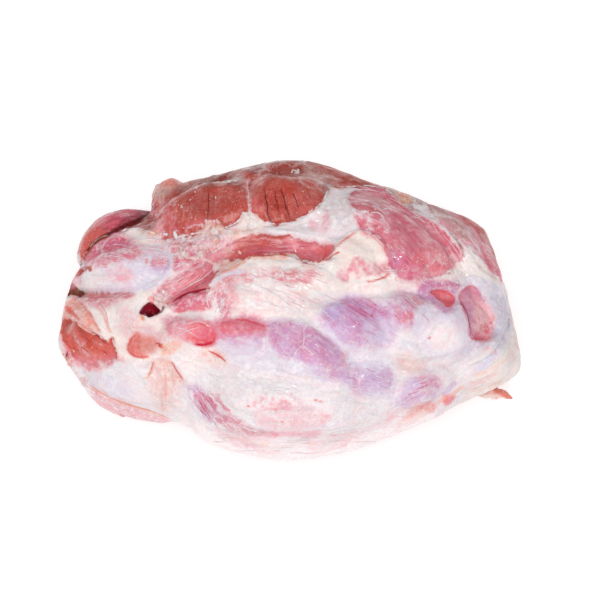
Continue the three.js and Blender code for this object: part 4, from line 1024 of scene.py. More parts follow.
class Node:
    """A node's output socket, with arithmetic on it."""

    def __init__(self, tree, socket):
        self.tree, self.socket = tree, socket

    def math(self, operation, *others, clamp=False):
        node = self.tree.nodes.new("ShaderNodeMath")
        node.operation, node.use_clamp = operation, clamp
        for slot, value in zip(node.inputs, (self, *others)):
            if isinstance(value, Node):
                self.tree.links.new(value.socket, slot)
            else:
                slot.default_value = value
        return Node(self.tree, node.outputs[0])

    def __add__(self, other):
        return self.math("ADD", other)

    def __mul__(self, other):
        return self.math("MULTIPLY", other)

    def __sub__(self, other):
        return self.math("SUBTRACT", other)

    def __rsub__(self, other):
        return self.math("MULTIPLY", -1).math("ADD", other)

    __radd__, __rmul__ = __add__, __mul__

    def clamp(self):
        return self.math("ADD", 0, clamp=True)

    def ridge(self):
        """1 along the lines where a noise crosses its middle, falling away to both sides."""
        return 1 - (self * 2 - 1).math("ABSOLUTE")

    def step(self, low, high):
        """0 below low, 1 above high, and smooth between."""
        t = ((self - low) * (1 / (high - low))).clamp()
        return t * t * (3 - 2 * t)


class Shader:
    """A material's node tree, with one method for each kind of node it takes."""

    def __init__(self, name):
        self.material = bpy.data.materials.new(name)
        self.material.use_nodes = True
        self.tree = self.material.node_tree
        self.surface = self.tree.nodes["Principled BSDF"]

    def node(self, kind, output=0, settings=(), **values):
        """Adds a node. settings are its own properties and values its inputs, by name with _ for a space."""
        made = self.tree.nodes.new(kind)
        for key, value in dict(settings).items():
            setattr(made, key, value)
        for key, value in values.items():
            self.put(made.inputs[int(key[1:]) if key[0] == "_" else key.replace("_", " ")], value)
        return Node(self.tree, made.outputs[output])

    def put(self, slot, value):
        if isinstance(value, Node):
            self.tree.links.new(value.socket, slot)
        else:
            slot.default_value = value

    def attribute(self, name, output):
        return self.node("ShaderNodeAttribute", output, {"attribute_name": name})

    def noise(self, where, scale, detail=3, roughness=0.55):
        return self.node("ShaderNodeTexNoise", Vector=where, Scale=scale, Detail=detail, Roughness=roughness)

    def mix(self, share, a, b, blend="MIX"):
        settings = {"data_type": "RGBA", "blend_type": blend, "clamp_result": True}
        return self.node("ShaderNodeMix", 2, settings, _0=share, _6=a, _7=b)

    def surface_inputs(self, **values):
        for key, value in values.items():
            self.put(self.surface.inputs[key.replace("_", " ")], value)


COLOUR, VECTOR, FACTOR = 0, 1, 2  # an attribute node's outputs
meat = Shader("raw_beef")
flesh_in = meat.attribute("flesh", COLOUR)
skin_in = meat.attribute("skin", COLOUR)
bare_in = meat.attribute("bare", FACTOR)
veil_in = meat.attribute("veil", FACTOR)
hollow_in = meat.attribute("hollow", FACTOR)
grain_in = meat.attribute("grain", VECTOR)
combed_in = meat.attribute("combed", FACTOR)
place = meat.node("ShaderNodeTexCoord", 3)
fibres = 0.5 + (meat.noise(grain_in, 0.8, 4, 0.62) - 0.5) * combed_in
bundles = 0.5 + (meat.noise(grain_in, 0.22, 3) - 0.5) * combed_in
blotches = meat.noise(place, 80, 4, 0.6)
grit = meat.noise(place, 430, 3, 0.75)
specks = meat.noise(place, 380, 2)
tears = meat.noise(place, 260, 4, 0.65)
wisps = meat.noise(grain_in, 0.34, 4, 0.6)
web = meat.noise(place, 34, 6, 0.62)

# Bare flesh shows where the skin is torn away, with ragged edges
torn = bare_in + (tears - 0.5) * 6 + (fibres - 0.5) * 3
open_flesh = torn.step(-0.45, 0.45)
thin = bare_in.step(-4, 0.5)

dark = (0.5 - fibres) * 0.9 + (0.5 - bundles) * 0.6 + (0.5 - blotches) * 0.5 + (0.5 - grit) * 0.5
raw = meat.mix((dark * 1.3).clamp(), flesh_in, (0.12, 0.006, 0.01, 1))
fresh = meat.node("ShaderNodeRGBToBW", Color=flesh_in).step(0.01, 0.12)
raw = meat.mix((dark * -0.75).clamp() * fresh, raw, (0.9, 0.55, 0.52, 1))
raw = meat.mix(grit.step(0.45, 0.58) * 0.7, raw, (1, 0.66, 0.68, 1), "MULTIPLY")
marbling = specks.step(0.66, 0.72) * fresh * 0.55
raw = meat.mix(marbling, raw, (0.8, 0.66, 0.62, 1))

light = meat.node("ShaderNodeRGBToBW", Color=skin_in)
tinge = 1 - 0.65 * light.step(0.45, 0.72)
light = light.step(0.06, 0.3)
mixed = 0.35 + 0.65 * veil_in.step(0.05, 0.5)
blush = (blotches * 0.6 + bundles * 0.4).step(0.46, 0.6)
rind = meat.mix(blush * tinge * 0.45, skin_in, (1, 0.5, 0.55, 1), "MULTIPLY")
streaks = fibres.step(0.5, 0.64) * (blotches * 0.5 + tears * 0.5).step(0.44, 0.58)
rind = meat.mix(streaks * tinge * 0.55, rind, (0.96, 0.5, 0.62, 1), "MULTIPLY")
cold = (0.5 - bundles) * 1.4 + (0.5 - blotches) * 0.8
rind = meat.mix((cold * 1.2).clamp() * mixed, rind, (0.76, 0.8, 0.95, 1), "MULTIPLY")
rind = meat.mix(grit.step(0.45, 0.58) * 0.6, rind, (1, 0.8, 0.84, 1), "MULTIPLY")
rind = meat.mix(thin * 0.4, rind, flesh_in)
fat = (tears * 0.5 + specks * 0.5).step(0.53, 0.6)
rind = meat.mix(fat * light * mixed * 0.4, rind, (0.82, 0.77, 0.74, 1))
body_colour = meat.mix(open_flesh, rind, raw)

lines = wisps.ridge().step(0.92, 0.99) * web.step(0.4, 0.6) * combed_in
threads = web.ridge().step(0.94, 0.99)
haze = (wisps + fibres - 1).step(0.08, 0.2) * combed_in * 0.5
film = (lines * 0.75 + threads * 0.6 + haze).clamp() * veil_in
film = film * (1 - open_flesh * 0.5)
body_colour = meat.mix(film, body_colour, (0.86, 0.83, 0.84, 1))
# Painted shade: in the skin's hollows the colour is multiplied darker and redder, most over bare flesh.
deep = hollow_in.step(0.25, 2.2)
shadow = meat.mix(open_flesh, (0.8, 0.5, 0.5, 1), (0.62, 0.2, 0.2, 1))
body_colour = meat.mix(deep * 0.45, body_colour, shadow, "MULTIPLY")
# Painted highlight: on the skin's ridges the colour is lightened towards white, on pale skin only.
lit_ridges = (hollow_in * -1).step(0.12, 0.9)
body_colour = meat.mix(lit_ridges * 0.22 * light * (1 - open_flesh), body_colour, (0.88, 0.85, 0.85, 1))

height = (1 - open_flesh) * 0.35 + film * 0.4 + fibres * 0.35 + specks * 0.3 + grit * 0.12 + tears * 0.5
bump = meat.node("ShaderNodeBump", Strength=0.7, Distance=0.001, Height=height)
sheen = meat.node("ShaderNodeRGBToBW", Color=body_colour).step(0.005, 0.08) * (1 - deep)
wet = blotches.step(0.42, 0.58) * (0.4 + 0.6 * open_flesh)
meat.surface_inputs(
    Base_Color=body_colour, Roughness=0.5 - 0.18 * wet, Normal=bump, IOR=1.4, Specular_IOR_Level=0.05,
    Subsurface_Weight=0.08, Subsurface_Radius=(1.0, 0.35, 0.25), Subsurface_Scale=0.003,
    Coat_Weight=(0.3 + 0.7 * wet) * sheen, Coat_Roughness=0.12,
)
mesh.materials.append(meat.material)
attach(clod, "root")
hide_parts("clod")

# THE TORN MEMBRANES
# Where the knife or a pull has parted the skin, its edge stands up as a thin ragged lip. Each lip grows out
# of the skin along one line.
tree = BVHTree.FromPolygons(p.tolist(), faces.tolist())
EYE = AIM[0] * FACE[0] + AIM[1] * FACE[1] + CAMERA_AWAY * FACE[2]
LIP_COLUMNS, LIP_GAP = 4, 0.7
LIP_ROOT, LIP_EDGE = 0.7, 0.16  # thickness added at the root and left at the edge
LIP_SUNK = 0.45


def drape(spots):
    """The points of the skin that the camera sees at some places across and up, with the normals there."""
    where, upright, index = [], [], []
    for u, v in spots:
        way = u * FACE[0] + v * FACE[1] - EYE
        hit, _, face, _ = tree.ray_cast(EYE.tolist(), (way / np.linalg.norm(way)).tolist())
        if hit is None:
            break
        where.append(hit)
        upright.append(out[faces[face]].mean(0))
        index.append(faces[face][0])
    return np.array(where), np.array(upright), np.array(index, int)


def along_line(points, gap):
    """Evenly spaced places on the smooth curve through some points."""
    line = smooth_line(points)
    length = np.concatenate([[0], np.cumsum(np.hypot(*np.diff(line, axis=0).T))])
    t = np.linspace(0, length[-1], max(4, int(length[-1] / gap)))
    return np.stack([np.interp(t, length, line[:, i]) for i in (0, 1)], axis=1)


def lip(points, width, lift, shade, seed):
    """A thin ragged strip rooted on a line, reaching out to the line's left. Returns its mesh and tints."""
    root, upright, index = drape(along_line(points, LIP_GAP))
    n = len(root)
    if n < 4:
        return np.zeros((0, 3)), [], np.zeros((0, 3))
    ahead = np.gradient(root, axis=0)
    across = np.cross(upright, ahead)
    across /= np.linalg.norm(across, axis=1)[:, None] + 1e-9
    run = np.arange(n)[:, None] * np.array([LIP_GAP, 0, 0])
    jag = 0.42 + noises(run, (6, 0.5, 60 + seed), (2.4, 0.4, 61 + seed), (1.2, 0.25, 62 + seed))
    jag = np.clip(jag, 0.02, 1.3)
    curl = 0.65 + 0.5 * noise(run, 6, 63 + seed)
    t = np.linspace(0, 1, n)
    jag = jag * smooth(np.minimum(t, 1 - t), 0, 0.1)
    rows = []
    for face in (0.5, -0.5):
        for j in range(LIP_COLUMNS):
            s = j / (LIP_COLUMNS - 1)
            stands = np.minimum(jag * 2, 1)
            thick = (LIP_ROOT * (1 - s) + LIP_EDGE) * stands * face
            out_by = width * (s - 0.35) * jag
            up_by = (lift * s**1.4 * curl + 0.5) * stands + thick - LIP_SUNK
            rows.append(root + across * out_by[:, None] + upright * up_by[:, None])
    ring = rows[:LIP_COLUMNS] + rows[LIP_COLUMNS:][::-1]
    points3 = np.vstack(ring)
    m = len(ring)
    quads = []
    for a in range(m):
        b = (a + 1) % m
        for i in range(n - 1):
            quads.append((a * n + i, b * n + i, b * n + i + 1, a * n + i + 1))
    quads.append(tuple(a * n for a in range(m))[::-1])
    quads.append(tuple(a * n + n - 1 for a in range(m)))
    s = np.concatenate([np.linspace(0, 1, LIP_COLUMNS), np.linspace(1, 0, LIP_COLUMNS)])
    blend = np.clip(np.repeat(s, n) * 1.1 - 0.2 + 0.4 * noise(points3, 3, 64 + seed), 0, 1)
    below = np.tile(skin[index], (m, 1))
    volume = (np.cross(across, ahead) * upright).sum()
    if volume > 0:
        quads = [q[::-1] for q in quads]
    return points3, quads, below + (colour(shade) - below) * blend[:, None]


LIPS = [  # line, width, lift, shade
    ([(-66, 6), (-67, 16), (-61, 23), (-54, 29), (-45, 33), (-36, 39), (-30, 43), (-20, 44), (-10, 44.5),
      (4, 43.5), (12, 39), (22, 37), (34, 39), (44, 45)], 4.0, 1.8, "peach"),
    ([(37, 46), (40, 52), (48, 60), (60, 65.5), (74, 60), (84, 51), (88, 38)], 2.6, 1.0, "ivory"),
    ([(-118, 62), (-108, 56), (-96, 58), (-84, 61), (-72, 63), (-60, 66), (-50, 68), (-42, 72), (-36, 79)],
      2.8, 0.9, "blush"),
    ([(-26, 74), (-18, 71), (-10, 70)], 2.0, 0.5, "white"),
    ([(16, 79), (24, 84), (30, 91), (34, 99)], 2.2, 0.6, "white"),
    ([(-141, -45), (-143, -36), (-145.5, -28), (-147.5, -24), (-151, -28), (-157, -23.5), (-166, -19),
      (-178, -11)], 2.6, 1.1, "peach"),
    ([(-98, -96), (-112, -90), (-132, -83), (-150, -76), (-166, -63), (-180, -46)], 3.0, 1.2, "peach"),
    ([(145, 4), (148, -3), (151, -10), (152, -20), (155, -26), (162, -28), (169, -25)], 1.6, 0.6, "blush"),
    ([(172, -8), (169, 0), (164, 6), (160, 14), (155, 19.5), (149, 19)], 2.0, 0.8, "lilac white"),
    ([(117, 13), (124, 8), (129, 4), (133, 0.5), (137, 1)], 2.0, 0.7, "lilac white"),
    ([(146, 40), (140, 56), (124, 72), (106, 83), (86, 96), (68, 102), (50, 101), (38, 103)], 2.6, 0.9,
      "white"),
    ([(-171, 28), (-173, 38), (-167, 48), (-158, 57), (-148, 61.5)], 2.0, 0.8, "peach"),
    ([(-100, 3), (-90, 5.5), (-80, 9), (-70, 12), (-63, 14)], 2.4, 0.8, "pink"),
    ([(176, 24), (168, 33), (160, 41), (152, 50), (148, 54)], 2.2, 1.2, "white"),
    ([(182, 30), (177, 48), (168, 64), (152, 76), (138, 82)], 2.4, 1.0, "taupe"),
    ([(-51, -46), (-56, -42.5), (-62, -39), (-69, -36)], 2.0, 0.9, "peach"),
    ([(-100, -34), (-106, -36), (-110, -32), (-104, -29)], 2.6, 1.4, "peach"),
    ([(-104, -62), (-106, -74), (-104, -88)], 2.2, 1.0, "blush"),
    ([(-140, 64), (-128, 66), (-116, 63), (-106, 60)], 2.4, 1.2, "ivory"),
    ([(160, -52), (172, -44), (182, -30), (186, -12), (184, 4)], 2.6, 0.9, "white"),
]
points, polygons, tints = [np.zeros((0, 3))], [], [np.zeros((0, 3))]
for seed, (line, width, lift, shade) in enumerate(LIPS):
    made, quads, tinted = lip(line, width, lift, shade, 5 * seed)
    start = sum(len(q) for q in points)
    polygons += [tuple(start + i for i in q) for q in quads]
    points.append(made)
    tints.append(tinted)

thin_skin = Shader("thin_membrane")
thin_tint = thin_skin.attribute("tint", COLOUR)
thin_place = thin_skin.node("ShaderNodeTexCoord", 3)
cloud = thin_skin.noise(thin_place, 420, 4, 0.6)
thin_colour = thin_skin.mix(cloud.step(0.45, 0.62) * 0.5, thin_tint, (0.95, 0.66, 0.64, 1), "MULTIPLY")
thin_gloss = thin_skin.node("ShaderNodeRGBToBW", Color=thin_tint).step(0.03, 0.3)
thin_skin.surface_inputs(
    Base_Color=thin_colour, Roughness=0.45, Specular_IOR_Level=0.1, Subsurface_Weight=0.2,
    Subsurface_Radius=(1.0, 0.5, 0.4), Subsurface_Scale=0.003, Coat_Weight=0.45 * thin_gloss, Coat_Roughness=0.12,
    Normal=thin_skin.node("ShaderNodeBump", Strength=0.6, Distance=0.0006, Height=cloud),
)


def add_thin(name, points, polygons, tints):
    """Makes a piece of thin skin from its points in millimetres, and lets it ride with the meat."""
    made = bpy.data.meshes.new(name)
    made.from_pydata(((points + (0, 0, MIDDLE_HEIGHT)) / 1000).tolist(), [], polygons)
    made.shade_smooth()
    rgba = np.hstack([tints, np.ones((len(points), 1))]).astype(np.float32)
    made.attributes.new("tint", "FLOAT_COLOR", "POINT").data.foreach_set("color", rgba.ravel())
    made.materials.append(thin_skin.material)
    piece = bpy.data.objects.new(name, made)
    bpy.context.scene.collection.objects.link(piece)
    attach(piece, "root")


add_thin("torn_membranes", np.vstack(points), polygons, np.vstack(tints))

# THE STRANDS
# White threads of connective tissue cling to the wet skin and run with its grain: the plain ones by name,
# the rest spread where the membrane is thickest.
# The dark lines below hold painted shade in the creases and along the cleft.
HAIRLINES = [  # dark creases, and edges dried to orange and red: line, half width, shade
    ([(-20.5, 101), (-19, 96), (-18.8, 91), (-17, 85), (-17.4, 79), (-15.5, 75), (-13, 71)], 0.45, "crease shade"),
    ([(-6, 102), (-5.4, 97), (-3, 91), (-2.2, 85), (0.6, 79), (1, 76), (3.5, 73)], 0.45, "crease shade"),
    ([(4, 99), (5, 94), (7.4, 88), (9, 82)], 0.32, "crease shade"),
    ([(-11, 99), (-10.4, 92), (-8.4, 86), (-8, 78)], 0.3, "crease shade"),
    ([(-67, 103), (-66.5, 88), (-67.5, 70)], 0.24, "crease shade"),
    ([(-52, 106), (-55, 102), (-59, 99)], 0.35, "crease shade"), ([(-50, 69), (-44, 71), (-38, 75)], 0.25, "coral"),
    ([(-168, 45), (-158, 55.5), (-150, 60)], 0.35, "orange"),
    ([(-172, 42), (-168, 48), (-159, 57.4), (-149, 62.4), (-140, 66)], 0.5, "crease shade"),
    ([(-140, 66), (-130, 70.4), (-122, 75), (-115, 80)], 0.6, "crease shade"),
    ([(-126, 64), (-118, 65), (-110, 61)], 0.4, "orange"),
    ([(-171, 33), (-167, 33.5), (-163, 33)], 0.3, "brick"),
    ([(-36, 39.5), (-30, 43.5), (-22, 44.5), (-12, 44.5), (-2, 44.5)], 0.45, "orange"),
    ([(-2, 44.5), (4, 43), (10, 39), (20, 37), (30, 39)], 0.4, "shell"),
    ([(30, 39), (34, 41), (38, 44), (44, 47.5)], 0.35, "orange"),
    ([(38, 49), (44, 55), (52, 60), (60, 65)], 0.28, "shell"),
    ([(62, 64), (70, 60), (78, 52)], 0.25, "shell"), ([(71, 24), (75, 23.5), (80, 26)], 0.35, "coral"),
    ([(-98, 4), (-90, 9.5), (-82, 13), (-72, 15), (-64, 17)], 0.8, "crimson"),
    ([(-67, -35.5), (-62, -38), (-56, -41.5), (-52, -44.5)], 0.6, "coral"),
    ([(-79, -30), (-71, -31), (-63, -29), (-61, -24)], 0.4, "cherry"),
    ([(-112, -44), (-114, -50), (-116, -56)], 0.3, "coral"),
    ([(-98, -44), (-93, -52), (-88, -59)], 0.35, "coral"),
    ([(-166, -64), (-150, -74), (-132, -81), (-114, -86), (-98, -93)], 0.4, "shell"),
    ([(-166, -20), (-158, -24), (-151, -29)], 0.4, "crimson"),
    ([(-184, -36), (-185.5, -42), (-184, -46)], 0.6, "crimson"),
    ([(-134, -32), (-131, -27), (-127, -21)], 0.35, "coral"),
    ([(-158, 5), (-152, -4), (-150, -14)], 0.3, "shell"),
]
# Fibres that show through in colour: middle across and up, spread, run across and up, number, shade
FIBRES = [
    (60, 2, 13, 6, 14, -10, 18, "magenta"), (70, -14, 12, 6, 12, -8, 10, "mauve"),
    (100, -2, 8, 7, 8, -9, 12, "cherry"), (20, -30, 16, 8, 12, -9, 8, "mauve"),
    (-70, -76, 9, 8, 12, -16, 18, "magenta"), (-64, -80, 9, 8, 12, -16, 12, "white"),
    (-40, -18, 12, 4, 10, -5, 8, "rose"), (0, -112, 50, 7, 24, 0.5, 20, "blush"),
    (-20, 50, 26, 4, 18, 1, 14, "rose"), (-20, 50, 26, 4, 14, 1, 10, "blush"),
    (106, 60, 15, 10, 8, -10, 16, "magenta"), (108, 60, 18, 10, 7, -7, 12, "blush"),
    (-10, 90, 15, 9, 1, -14, 14, "brick"), (-66, 84, 22, 10, 0.5, -13, 18, "brick"),
    (-8, 27, 26, 7, 14, -5, 14, "pink"), (0, 10, 26, 9, 16, -8, 14, "blush"),
    (-146, 50, 8, 5, 12, -3, 12, "magenta"), (-146, 48, 10, 6, 12, -3, 12, "white"),
    (62, -58, 14, 6, 12, -4, 10, "mauve"), (110, -68, 9, 6, 11, 3, 10, "magenta"),
    (112, -68, 9, 6, 10, 3, 8, "white"), (-166, -32, 12, 8, 7, -6, 14, "crimson"),
    (-86, 20, 14, 6, 10, 7, 14, "rose"), (162, 56, 10, 12, 9, -11, 14, "white"),
]
STRANDS = [
    ([(46, 96), (56, 98.5), (66, 99), (76, 97)], 0.5), ([(58, 92), (66, 95), (74, 94)], 0.45),
    ([(66, 78), (73, 80), (78, 77.5), (81, 72), (84, 70)], 0.5), ([(78, 82), (85, 83), (92, 80)], 0.45),
    ([(102, 76), (109, 75), (115, 71)], 0.45), ([(84, 92), (92, 88.5), (99, 84)], 0.4),
    ([(151, 50), (157, 43), (163, 36), (166, 30)], 0.9),
    ([(13, -17), (13.5, -25), (13, -31), (16, -35)], 0.42), ([(13, -30), (8, -35), (4, -40)], 0.34),
    ([(13, -31), (19, -37), (24, -40)], 0.28), ([(-6, -28), (-3, -36), (5, -43)], 0.3),
    ([(-92, -11), (-84, -13), (-74, -11), (-64, -16)], 0.34), ([(-98, -16), (-86, -18), (-76, -24)], 0.28),
    ([(-94, -24), (-84, -19), (-74, -16)], 0.28), ([(-66, 14), (-67.5, 7), (-66, 0)], 0.6),
    ([(-30, 22), (-14, 13), (2, 3), (14, -5)], 0.45), ([(-14, 26), (2, 16), (16, 4)], 0.4),
    ([(-20, 18), (-6, 8), (6, -3)], 0.4), ([(-120, 50), (-108, 49), (-100, 46)], 0.45),
    ([(-138, 63), (-126, 58), (-108, 56.5), (-98, 52)], 0.9), ([(-154, 52), (-142, 49), (-132, 44)], 0.45),
    ([(-158, 47), (-146, 45), (-136, 40)], 0.4), ([(-150, 56), (-138, 54), (-130, 49)], 0.4),
    ([(150, -48), (164, -42), (175, -30), (181, -14), (182, 4)], 0.6),
    ([(156, -54), (170, -48), (184, -34)], 0.5), ([(142, 22), (150, 26), (160, 26), (170, 20)], 0.5),
    ([(104, -84), (112, -78), (122, -76)], 0.4),
    ([(-33, 110), (-34, 103), (-33, 96), (-33.4, 88), (-32.2, 80)], 0.3),
    ([(-110, 60), (-112, 70), (-116, 78)], 0.4),
]
THREAD_SIDES, THREAD_GAP, LONGEST_STEP = 5, 1.4, 6
WANDERING = 700
rng = np.random.default_rng(5)
flow = np.array([f[:2] for f in FLOWS])
flow_turn = np.radians([f[2] for f in FLOWS])
flow_reach = np.array([f[3] for f in FLOWS])


def heading(spot):
    """The grain's turn at a place on the face, blended between its neighbours."""
    weight = np.exp(-2 * (np.hypot(*(spot - flow).T) / flow_reach) ** 2) + 1e-9
    return math.atan2((weight * np.sin(2 * flow_turn)).sum(), (weight * np.cos(2 * flow_turn)).sum()) / 2


def wander_line(start, steps, gap, sway):
    """A line that follows the grain from a start, swaying a little."""
    turn = heading(start)
    line, drift = [start], 0
    for _ in range(steps):
        here = heading(line[-1])
        here += math.pi * round((turn - here) / math.pi)
        drift = 0.8 * drift + rng.normal(0, sway)
        turn = here
        line.append(line[-1] + gap * np.array([math.cos(turn + drift), math.sin(turn + drift)]))
    return line


def thread(spots, half):
    """A tapered thread lying half sunk in the skin along a line of places."""
    path, upright, _ = drape(spots)
    n = len(path)
    if n < 5 or (np.linalg.norm(np.diff(path, axis=0), axis=1) > LONGEST_STEP).any():
        return np.zeros((0, 3)), []
    ahead = np.gradient(path, axis=0)
    ahead /= np.linalg.norm(ahead, axis=1)[:, None] + 1e-9
    across = np.cross(upright, ahead)
    t = np.linspace(0, 1, n)
    girth = half * (0.25 + 0.75 * np.sin(math.pi * t) ** 0.6) * (1 + 0.3 * noise(path, 3, 71))
    ring = []
    for k in range(THREAD_SIDES):
        a = 2 * math.pi * k / THREAD_SIDES
        ring.append(path + (across * math.cos(a) + upright * (0.7 * math.sin(a) + 0.25)) * girth[:, None])
    quads = []
    for k in range(THREAD_SIDES):
        a, b = k * n, (k + 1) % THREAD_SIDES * n
        quads += [(a + i, b + i, b + i + 1, a + i + 1) for i in range(n - 1)]
    first_end = tuple(k * n for k in range(THREAD_SIDES))
    quads += [first_end[::-1], tuple(k + n - 1 for k in first_end)]
    return np.vstack(ring), quads


threads = [(along_line(line, THREAD_GAP), half, shade) for line, half, shade in HAIRLINES]
threads += [(along_line(line, THREAD_GAP), half, "white") for line, half in STRANDS]
for u, v, across, up, run, climb, number, shade in FIBRES:
    for start in rng.normal((u, v), (across / 1.6, up / 1.6), (number, 2)):
        bend, reach = rng.normal(0, 0.08, 2), rng.uniform(0.35, 1)
        middle, end = (start + np.array((run, climb)) * reach * part for part in (0.5, 1))
        line = along_line([start, middle + bend * 6, end], THREAD_GAP)
        threads.append((line, rng.uniform(0.16, 0.3), shade))
for _ in range(WANDERING):
    start = rng.uniform((-186, -122), (186, 122))
    steps, half, sway = int(rng.integers(7, 22)), rng.uniform(0.22, 0.42), rng.uniform(0.05, 0.16)
    at = drape([start])[2]
    if len(at) and veil[at[0]] > rng.uniform(0.2, 1.3) and out[at[0]] @ FACE[2] > 0.15:
        spots = along_line(wander_line(start, steps, 1.5, sway), THREAD_GAP)
        if veil[drape(spots)[2]].min() > 0.18:
            threads.append((spots, half, "white"))
points, polygons, tints = [np.zeros((0, 3))], [], [np.zeros((0, 3))]
for spots, half, shade in threads:
    made, quads = thread(spots, half)
    start = sum(len(q) for q in points)
    polygons += [tuple(start + i for i in q) for q in quads]
    points.append(made)
    tints.append(np.tile(colour(shade), (len(made), 1)))
add_thin("strands", np.vstack(points), polygons, np.vstack(tints))

# THE CRUMBS OF FAT
# Small soft lumps of fat are left on the seams between the muscles, some as plain white flecks.
CRUMBS = [  # across, up, spread across and up, number, size, shade
    (-62, 61, 14, 5, 22, 1.3, "white"), (-96, 57, 12, 5, 14, 1.1, "white"),
    (-84, 44, 14, 7, 16, 1.2, "ivory"), (-32, 73, 6, 5, 16, 1.3, "white"),
    (-47, 105.5, 3, 1, 6, 1.1, "ivory"), (5, 114, 1.8, 1, 4, 1.0, "ivory"),
    (-54, 50, 12, 6, 14, 1.1, "peach"), (76, 30, 12, 4, 6, 1.0, "blush"), (40, 76, 10, 12, 10, 1.0, "white"),
    (-76, 97, 20, 6, 6, 0.5, "ivory"), (-90, 80, 18, 14, 12, 0.5, "blush"),
    (-112, 78, 3, 8, 10, 0.9, "blush"), (104, 32, 14, 6, 12, 0.8, "blush"),
    (124, 40, 12, 8, 18, 0.5, "ivory"), (-116, 90, 3, 6, 8, 0.9, "dun"), (140, 26, 8, 5, 12, 1.0, "ivory"),
    (-107, 3, 3, 2, 4, 1.2, "blush"), (-184, -44, 4, 9, 10, 1.4, "peach"),
    (-140, -92, 16, 2, 12, 1.4, "pale pink"), (-172, -62, 6, 5, 8, 1.4, "blush"),
    (-98, 112, 5, 3, 8, 1.2, "shell"),
]
small_ball, small_faces = ball(3)
points, polygons, tints = [], [], []
for u, v, across, up, number, size, shade in CRUMBS:
    for _ in range(number):
        spot = rng.normal((u, v), (across * 0.6, up * 0.6))
        girth = size * rng.uniform(0.4, 1.5) * rng.uniform((1.0, 0.6, 0.3), (2.6, 1.2, 0.5))
        turn = rng.uniform(0, math.pi)
        hit, upright, at = drape([spot])
        if not len(hit):
            continue
        long_way = np.cross(upright[0], FACE[0] * math.cos(turn) + FACE[1] * math.sin(turn))
        long_way /= np.linalg.norm(long_way)
        axes = np.stack([long_way, np.cross(upright[0], long_way), upright[0]])
        shape = small_ball * (1 + 0.8 * noise(small_ball * 3 + 9 * len(points), 2.2, 81)[:, None]) * girth
        start = sum(len(q) for q in points)
        polygons += (small_faces + start).tolist()
        points.append(hit[0] + shape @ axes - upright[0] * girth[2] * 0.15)
        tints.append(np.tile(0.6 * colour(shade) + 0.4 * skin[at[0]], (len(shape), 1)))
add_thin("fat_crumbs", np.vstack(points), polygons, np.vstack(tints))

# THE HANGING TAG
# A scrap of meat left by the trimming hangs from the thick end, drying at its tip.
TAG_AT, TAG_HALF, TAG_TURN, TAG_TILT, TAG_DROOP = (165, -61, 21 - MIDDLE_HEIGHT), (24, 7, 4.5), -16, 6, 0.6
tag_ball, tag_faces = ball(16)
x, y, z = tag_ball.T
TAG_GRAIN = (22, 6, 5)
ragged = 1 + noises(tag_ball * TAG_GRAIN, (6, 0.3, 91), (2.5, 0.2, 92))
taper = np.where(x > 0, 1 - 0.45 * x, 1 - 0.15 * x)
tag_height = z * 0.8 * ragged * taper - TAG_DROOP * x * x
tag = np.stack([x * TAG_HALF[0], y * TAG_HALF[1] * ragged * taper, tag_height * TAG_HALF[2]], axis=1)
c, s = math.cos(math.radians(TAG_TILT)), math.sin(math.radians(TAG_TILT))
tag = tag @ np.array([[c, 0, -s], [0, 1, 0], [s, 0, c]])
c, s = math.cos(math.radians(TAG_TURN)), math.sin(math.radians(TAG_TURN))
tag = tag @ np.array([[c, s, 0], [-s, c, 0], [0, 0, 1]]) + TAG_AT
dryness = smooth(x + 0.4 * noise(tag, 4, 93), -0.5, 0.9)[:, None]
tag_tint = colour("peach") + (colour("shell") - colour("peach")) * dryness
tag_tint += (colour("ivory") - tag_tint) * smooth(-y + 0.5 * noise(tag, 4, 94), 0.3, 0.9)[:, None] * 0.8
tag_tint += (colour("cherry") - tag_tint) * smooth(y + 0.3 * noise(tag, 5, 95), 0.55, 0.85)[:, None]
add_thin("hanging_tag", tag, tag_faces.tolist(), tag_tint)

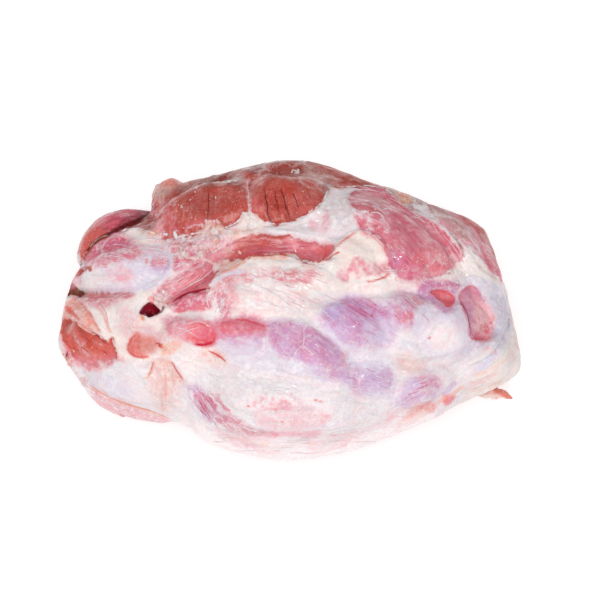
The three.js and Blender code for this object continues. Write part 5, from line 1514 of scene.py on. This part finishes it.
# THE FLOOR
# A plain white studio sweep: not part of the object.
floor_mesh = bpy.data.meshes.new("floor")
floor_mesh.from_pydata([(-6, -6, 0), (6, -6, 0), (6, 6, 0), (-6, 6, 0)], [], [(0, 1, 2, 3)])
floor = bpy.data.objects.new("floor", floor_mesh)
bpy.context.scene.collection.objects.link(floor)
paper = Shader("white_paper")
paper.surface_inputs(
    Base_Color=(0.45, 0.45, 0.45, 1), Roughness=0.9, Emission_Color=(1, 1, 1, 1), Emission_Strength=0.68,
)
floor_mesh.materials.append(paper.material)

# LIGHT AND CAMERA
# A large soft box over the front, a weaker one from the left and white all round. The camera looks down
# on the membrane face from the front.
world = bpy.data.worlds.new("studio")
world.use_nodes = True
world.node_tree.nodes["Background"].inputs["Color"].default_value = (1, 1, 1, 1)
world.node_tree.nodes["Background"].inputs["Strength"].default_value = 0.45
bpy.context.scene.world = world


def soft_box(name, place, target, size, power):
    light = bpy.data.lights.new(name, "AREA")
    light.size, light.energy = size, power
    lamp = bpy.data.objects.new(name, light)
    lamp.location = place
    lamp.rotation_euler = (Vector(target) - Vector(place)).to_track_quat("-Z", "Y").to_euler()
    bpy.context.scene.collection.objects.link(lamp)


soft_box("key", (-0.05, -0.8, 1.3), (0, 0, 0.05), 1.2, 14)
soft_box("side", (-1.2, 0.3, 0.8), (0, 0, 0.05), 0.8, 2.5)
soft_box("spark", (0.5, 0.1, 1.5), (0, 0, 0.05), 0.12, 2.6)

camera_data = bpy.data.cameras.new("camera")
camera = bpy.data.objects.new("camera", camera_data)
bpy.context.scene.collection.objects.link(camera)
to_camera = Vector(FACE[2])
aim = Vector(AIM[0] * FACE[0] + AIM[1] * FACE[1] + np.array([0, 0, MIDDLE_HEIGHT])) / 1000
camera.location = aim + to_camera * CAMERA_AWAY / 1000
camera.rotation_euler = (-to_camera).to_track_quat("-Z", "Y").to_euler()
FIELD = 0.4969  # metres that the picture shows across at the meat
SENSOR = 36
camera_data.sensor_width = SENSOR
camera_data.lens = SENSOR * CAMERA_AWAY / 1000 / FIELD
camera_data.clip_end = 50
bpy.context.scene.camera = camera
bpy.context.scene.view_settings.view_transform = "Standard"
